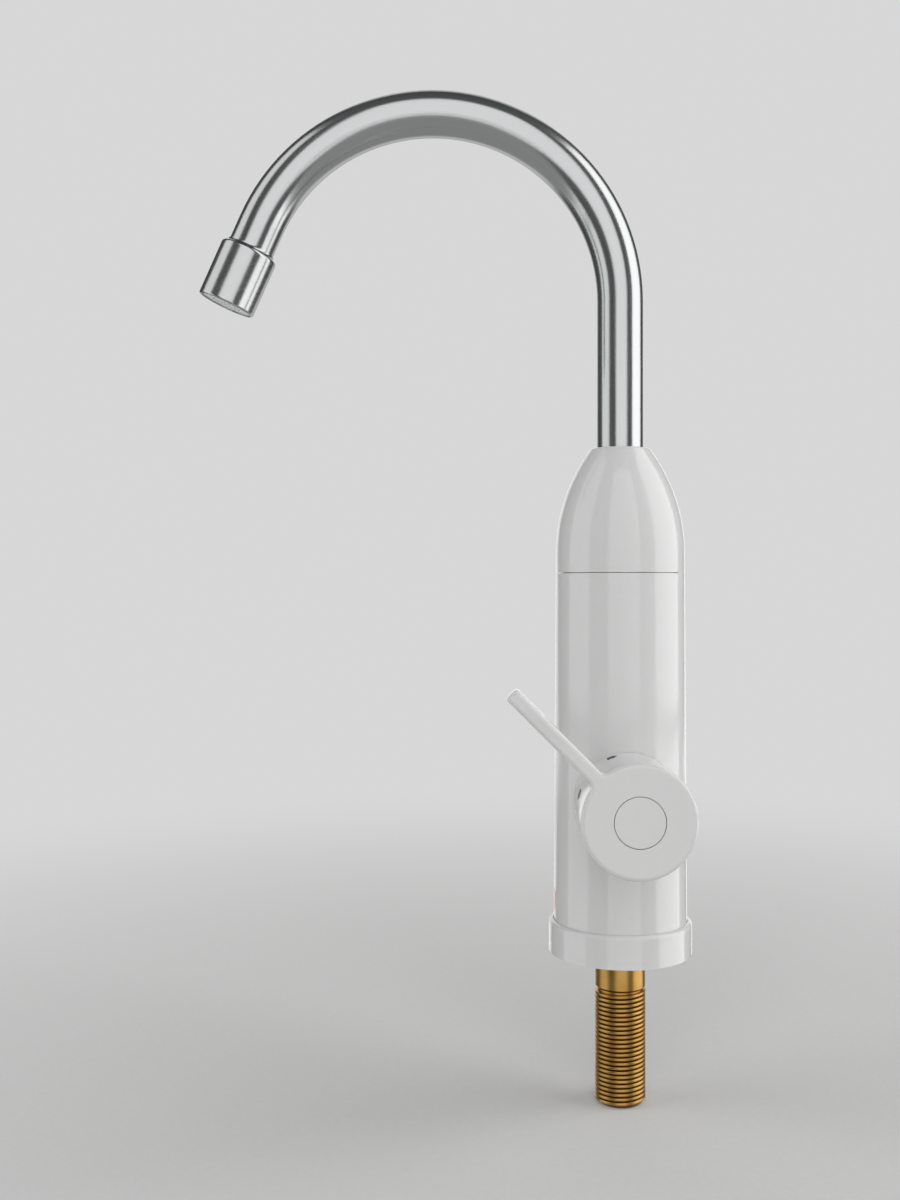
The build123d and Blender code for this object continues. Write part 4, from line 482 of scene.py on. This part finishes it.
# Mains wires: three cores in soft vinyl, live brown, neutral blue and earth green
# with yellow. They are screwed into the terminal block and told apart by where
# they run.
earth_x = 3.0
yellow_x = 6.0
pair_low = (60.0, -3.0)
pair_high = (80.0, -12.5)
core_vinyl, tree, shader, place, _ = finish(
    "coloured vinyl insulation", ("#6B3F23", "#6B3F23"), (0.34, 0.46), 1.0
)
split = add_node(tree, "ShaderNodeSeparateXYZ", links={"Vector": (place, "Object")})
divide = add_node(
    tree, "ShaderNodeMapRange",
    {
        "From Min": pair_low[0] * MM, "From Max": pair_high[0] * MM,
        "To Min": pair_low[1] * MM, "To Max": pair_high[1] * MM,
    },
    {"Value": (split, "Z")},
)
is_neutral = add_node(
    tree, "ShaderNodeMath", links={0: (split, "X"), 1: (divide, "Result")},
    operation="GREATER_THAN",
)
core = add_node(tree, "ShaderNodeMix", links={"Factor": (is_neutral, 0)}, data_type="RGBA")
core.inputs["A"].default_value = linear("#6B3F23")
core.inputs["B"].default_value = linear("#2C5FA8")
for limit_x, colour in ((earth_x, "#2E7A3A"), (yellow_x, "#D8C32E")):
    is_past = add_node(
        tree, "ShaderNodeMath", {1: limit_x * MM}, {0: (split, "X")},
        operation="GREATER_THAN",
    )
    changed = add_node(
        tree, "ShaderNodeMix", links={"Factor": (is_past, 0)}, data_type="RGBA"
    )
    tree.links.new(core.outputs["Result"], changed.inputs["A"])
    changed.inputs["B"].default_value = linear(colour)
    core = changed
tree.links.new(core.outputs["Result"], shader.inputs["Base Color"])
dress(core_vinyl, "mains_wires")

# Heater wires: nickel cores in a sleeve braided from glass yarn, which shows as a
# fine pale mesh and stands the heat beside the vessel.
glass_braid = finish("braided glass sleeve", ("#B5AD98", "#D6D0BE"), (0.6, 0.8), 0.4,
                     0.05)[0]
dress(glass_braid, "heater_wires")

# Indicator leads: two thin cores in grey vinyl, crimped to the lamp's legs.
grey_vinyl = finish("grey vinyl insulation", ("#707173", "#7E7F81"), (0.36, 0.5), 1.0)[0]
dress(grey_vinyl, "indicator_leads")

# Indicator lamp: a small lamp cast in red epoxy, with a domed end.
cast_epoxy = finish("cast red epoxy", ("#AB1C18", "#BF2721"), (0.1, 0.18), 1.5,
                    IOR=1.55, Transmission_Weight=0.4)[0]
dress(cast_epoxy, "indicator_lamp")

# Indicator lens: a clear red button moulded in acrylic, pressed into the housing's
# side and flush with it. It is polished, so at a low angle it mirrors the pale room.
red_acrylic = finish("polished red acrylic", ("#D8323C", "#E03C46"), (0.06, 0.1), 5.0,
                     0.002, IOR=1.49, Transmission_Weight=0.35)[0]
dress(red_acrylic, "indicator_lens")

# White shells: foot, housing, top cover, valve collar, handle and cap. They are ABS
# from polished moulds, screwed or snapped together, and mirror the softboxes
# softly. Their gloss varies a little, as moulded ABS does.
white_abs = finish("white moulded ABS", ("#E0E1E0", "#E3E3E2"), (0.08, 0.13), 0.9,
                   IOR=1.53)[0]
dress(
    white_abs, "base_ring", "main_housing", "top_cover", "valve_collar", "handle",
    "handle_cap",
)

# Spout tube: thin stainless steel tube, bent round a former and buffed along its
# length to a near mirror, which leaves fine lines along the tube and dims its edges.
bend_x = -77.9
bend_z = 269.1
line_stretch = 0.01
edge_tint = (0.55, 0.55, 0.55, 1.0)
buffed_steel, tree, _, place, buffing = finish(
    "buffed stainless steel", ("#B4B5B6", "#BABBBB"), (0.17, 0.24), 0.5, 0.004,
    Metallic=1.0, Specular_Tint=edge_tint,
)
from_bend = add_node(
    tree, "ShaderNodeVectorMath", {1: (bend_x * MM, 0, bend_z * MM)},
    {0: (place, "Object")},
    operation="SUBTRACT",
)
split = add_node(tree, "ShaderNodeSeparateXYZ", links={"Vector": (from_bend, 0)})
above = add_node(tree, "ShaderNodeMath", {1: 0.0}, {0: (split, "Z")}, operation="MAXIMUM")
across = add_node(tree, "ShaderNodeCombineXYZ", links={"X": (split, "X"), "Y": (above, 0)})
reach = add_node(tree, "ShaderNodeVectorMath", links={0: (across, 0)}, operation="LENGTH")
along = add_node(
    tree, "ShaderNodeMath", {1: line_stretch}, {0: (split, "Z")}, operation="MULTIPLY"
)
lines = add_node(
    tree, "ShaderNodeCombineXYZ",
    links={"X": (reach, "Value"), "Y": (split, "Y"), "Z": (along, 0)},
)
tree.links.new(lines.outputs["Vector"], buffing.inputs["Vector"])
dress(buffed_steel, "spout_tube")

# Aerator housing: a stainless steel cap, turned and buffed on the lathe and screwed
# over the spout's end. Its fine rings run round its own axis.
outlet_lean = 24.0
turned_steel, tree, _, place, rings = finish(
    "turned stainless steel", ("#B4B5B6", "#BABBBB"), (0.17, 0.24), 0.4, 0.003,
    Metallic=1.0, Specular_Tint=edge_tint,
)
lean = add_node(
    tree, "ShaderNodeVectorRotate", {"Angle": radians(outlet_lean), "Axis": (0, 1, 0)},
    {"Vector": (place, "Object")},
)
ringed = add_node(
    tree, "ShaderNodeMapping", {"Scale": (0.02, 0.02, 1)}, {"Vector": (lean, "Vector")}
)
tree.links.new(ringed.outputs["Vector"], rings.inputs["Vector"])
dress(turned_steel, "aerator_housing")

# Aerator insert: a cup moulded in pale acetal with rings of spray holes, pushed into
# the housing. The mould's face is eroded, so it is dull. No light comes through the
# holes, so their insides are painted near black as painted shade.
insert_face = -178.45
hole_shade = (0.35, 0.05)
eroded_acetal, tree, shader, place, _ = finish(
    "eroded acetal", ("#E1E3E5", "#E8EAEC"), (0.38, 0.5), 0.3, 0.01, IOR=1.48
)
outward = (-sin(radians(outlet_lean)), 0, -cos(radians(outlet_lean)))
depth = add_node(
    tree, "ShaderNodeVectorMath", {1: outward}, {0: (place, "Object")},
    operation="DOT_PRODUCT",
)
shade = add_node(
    tree, "ShaderNodeMapRange",
    {
        "From Min": (insert_face - hole_shade[0]) * MM,
        "From Max": (insert_face - hole_shade[1]) * MM,
    },
    {"Value": (depth, "Value")},
)
pale_face = shader.inputs["Base Color"].links[0].from_socket
# Painted shade: deeper than the face, inside the spray holes, the colour turns near black.
inside = add_node(
    tree, "ShaderNodeMix", links={"Factor": (shade, "Result")}, data_type="RGBA"
)
inside.inputs["A"].default_value = linear("#2A2A2A")
tree.links.new(pale_face, inside.inputs["B"])
tree.links.new(inside.outputs["Result"], shader.inputs["Base Color"])
dress(eroded_acetal, "aerator_insert")

# Direction marks: two small arrows on the valve collar, one each side of the lever,
# printed in dark ink with a rubber pad. Each is a film that follows the collar.
collar_r = 20.9
handle_z = 64.5
ink_film = 0.1
shaft_deep = 4.6
head_deep = 7.0
shaft_turn = 6.0
head_turn = 5.5
pad_ink = finish("pad-printed ink", ("#333335", "#464648"), (0.4, 0.55), 0.4, 0.002)[0]


def ink_strip(middle_y, deep, start, turn, steps, end_scale):
    """A strip of ink round the handle's axis, from one edge that is spun about it."""
    axle = (0, middle_y * MM, handle_z * MM)
    bpy.ops.object.select_all(action="DESELECT")
    bpy.ops.mesh.primitive_plane_add(
        size=deep * MM, location=(collar_r * MM, middle_y * MM, (handle_z + deep / 2) * MM),
        rotation=(0, pi / 2, 0),
    )
    strip = bpy.context.object
    bpy.ops.object.transform_apply(location=True, rotation=True)
    bpy.ops.object.mode_set(mode="EDIT")
    bpy.ops.mesh.select_mode(type="VERT")
    bpy.ops.mesh.select_all(action="DESELECT")
    bpy.ops.object.mode_set(mode="OBJECT")
    for vertex in strip.data.vertices:
        vertex.select = vertex.co.z > (handle_z + deep / 2) * MM
    bpy.ops.object.mode_set(mode="EDIT")
    bpy.ops.mesh.delete(type="VERT")
    bpy.ops.mesh.select_all(action="SELECT")
    bpy.ops.transform.rotate(value=radians(start), orient_axis="Y", center_override=axle)
    bpy.ops.mesh.spin(steps=steps, angle=radians(turn), center=axle, axis=(0, 1, 0))
    bpy.ops.transform.resize(value=(1, end_scale, 1), center_override=axle)
    bpy.ops.mesh.select_all(action="SELECT")
    bpy.ops.mesh.remove_doubles(threshold=0.01 * MM)
    bpy.ops.object.mode_set(mode="OBJECT")
    return strip


def direction_mark(name, middle_y, bearing, way):
    """An arrow of a shaft and a head, thickened to the depth of the ink."""
    shaft = ink_strip(middle_y, shaft_deep, bearing, way * shaft_turn, 6, 1)
    head = ink_strip(middle_y, head_deep, bearing, -way * head_turn, 1, 0)
    shaft.select_set(True)
    bpy.ops.object.join()
    mark = bpy.context.object
    mark.name = name
    bpy.ops.object.mode_set(mode="EDIT")
    bpy.ops.mesh.select_all(action="SELECT")
    bpy.ops.mesh.normals_make_consistent(inside=False)
    bpy.ops.object.mode_set(mode="OBJECT")
    depth = mark.modifiers.new("depth", "SOLIDIFY")
    depth.thickness = ink_film * MM
    depth.offset = 0.0
    bpy.ops.object.modifier_apply(modifier=depth.name)
    mark.data.materials.append(pad_ink)
    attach(mark, "heater")
    return mark


direction_mark("direction_mark_on", -33.0, 109.0, 1)
direction_mark("direction_mark_off", -37.0, 164.0, -1)
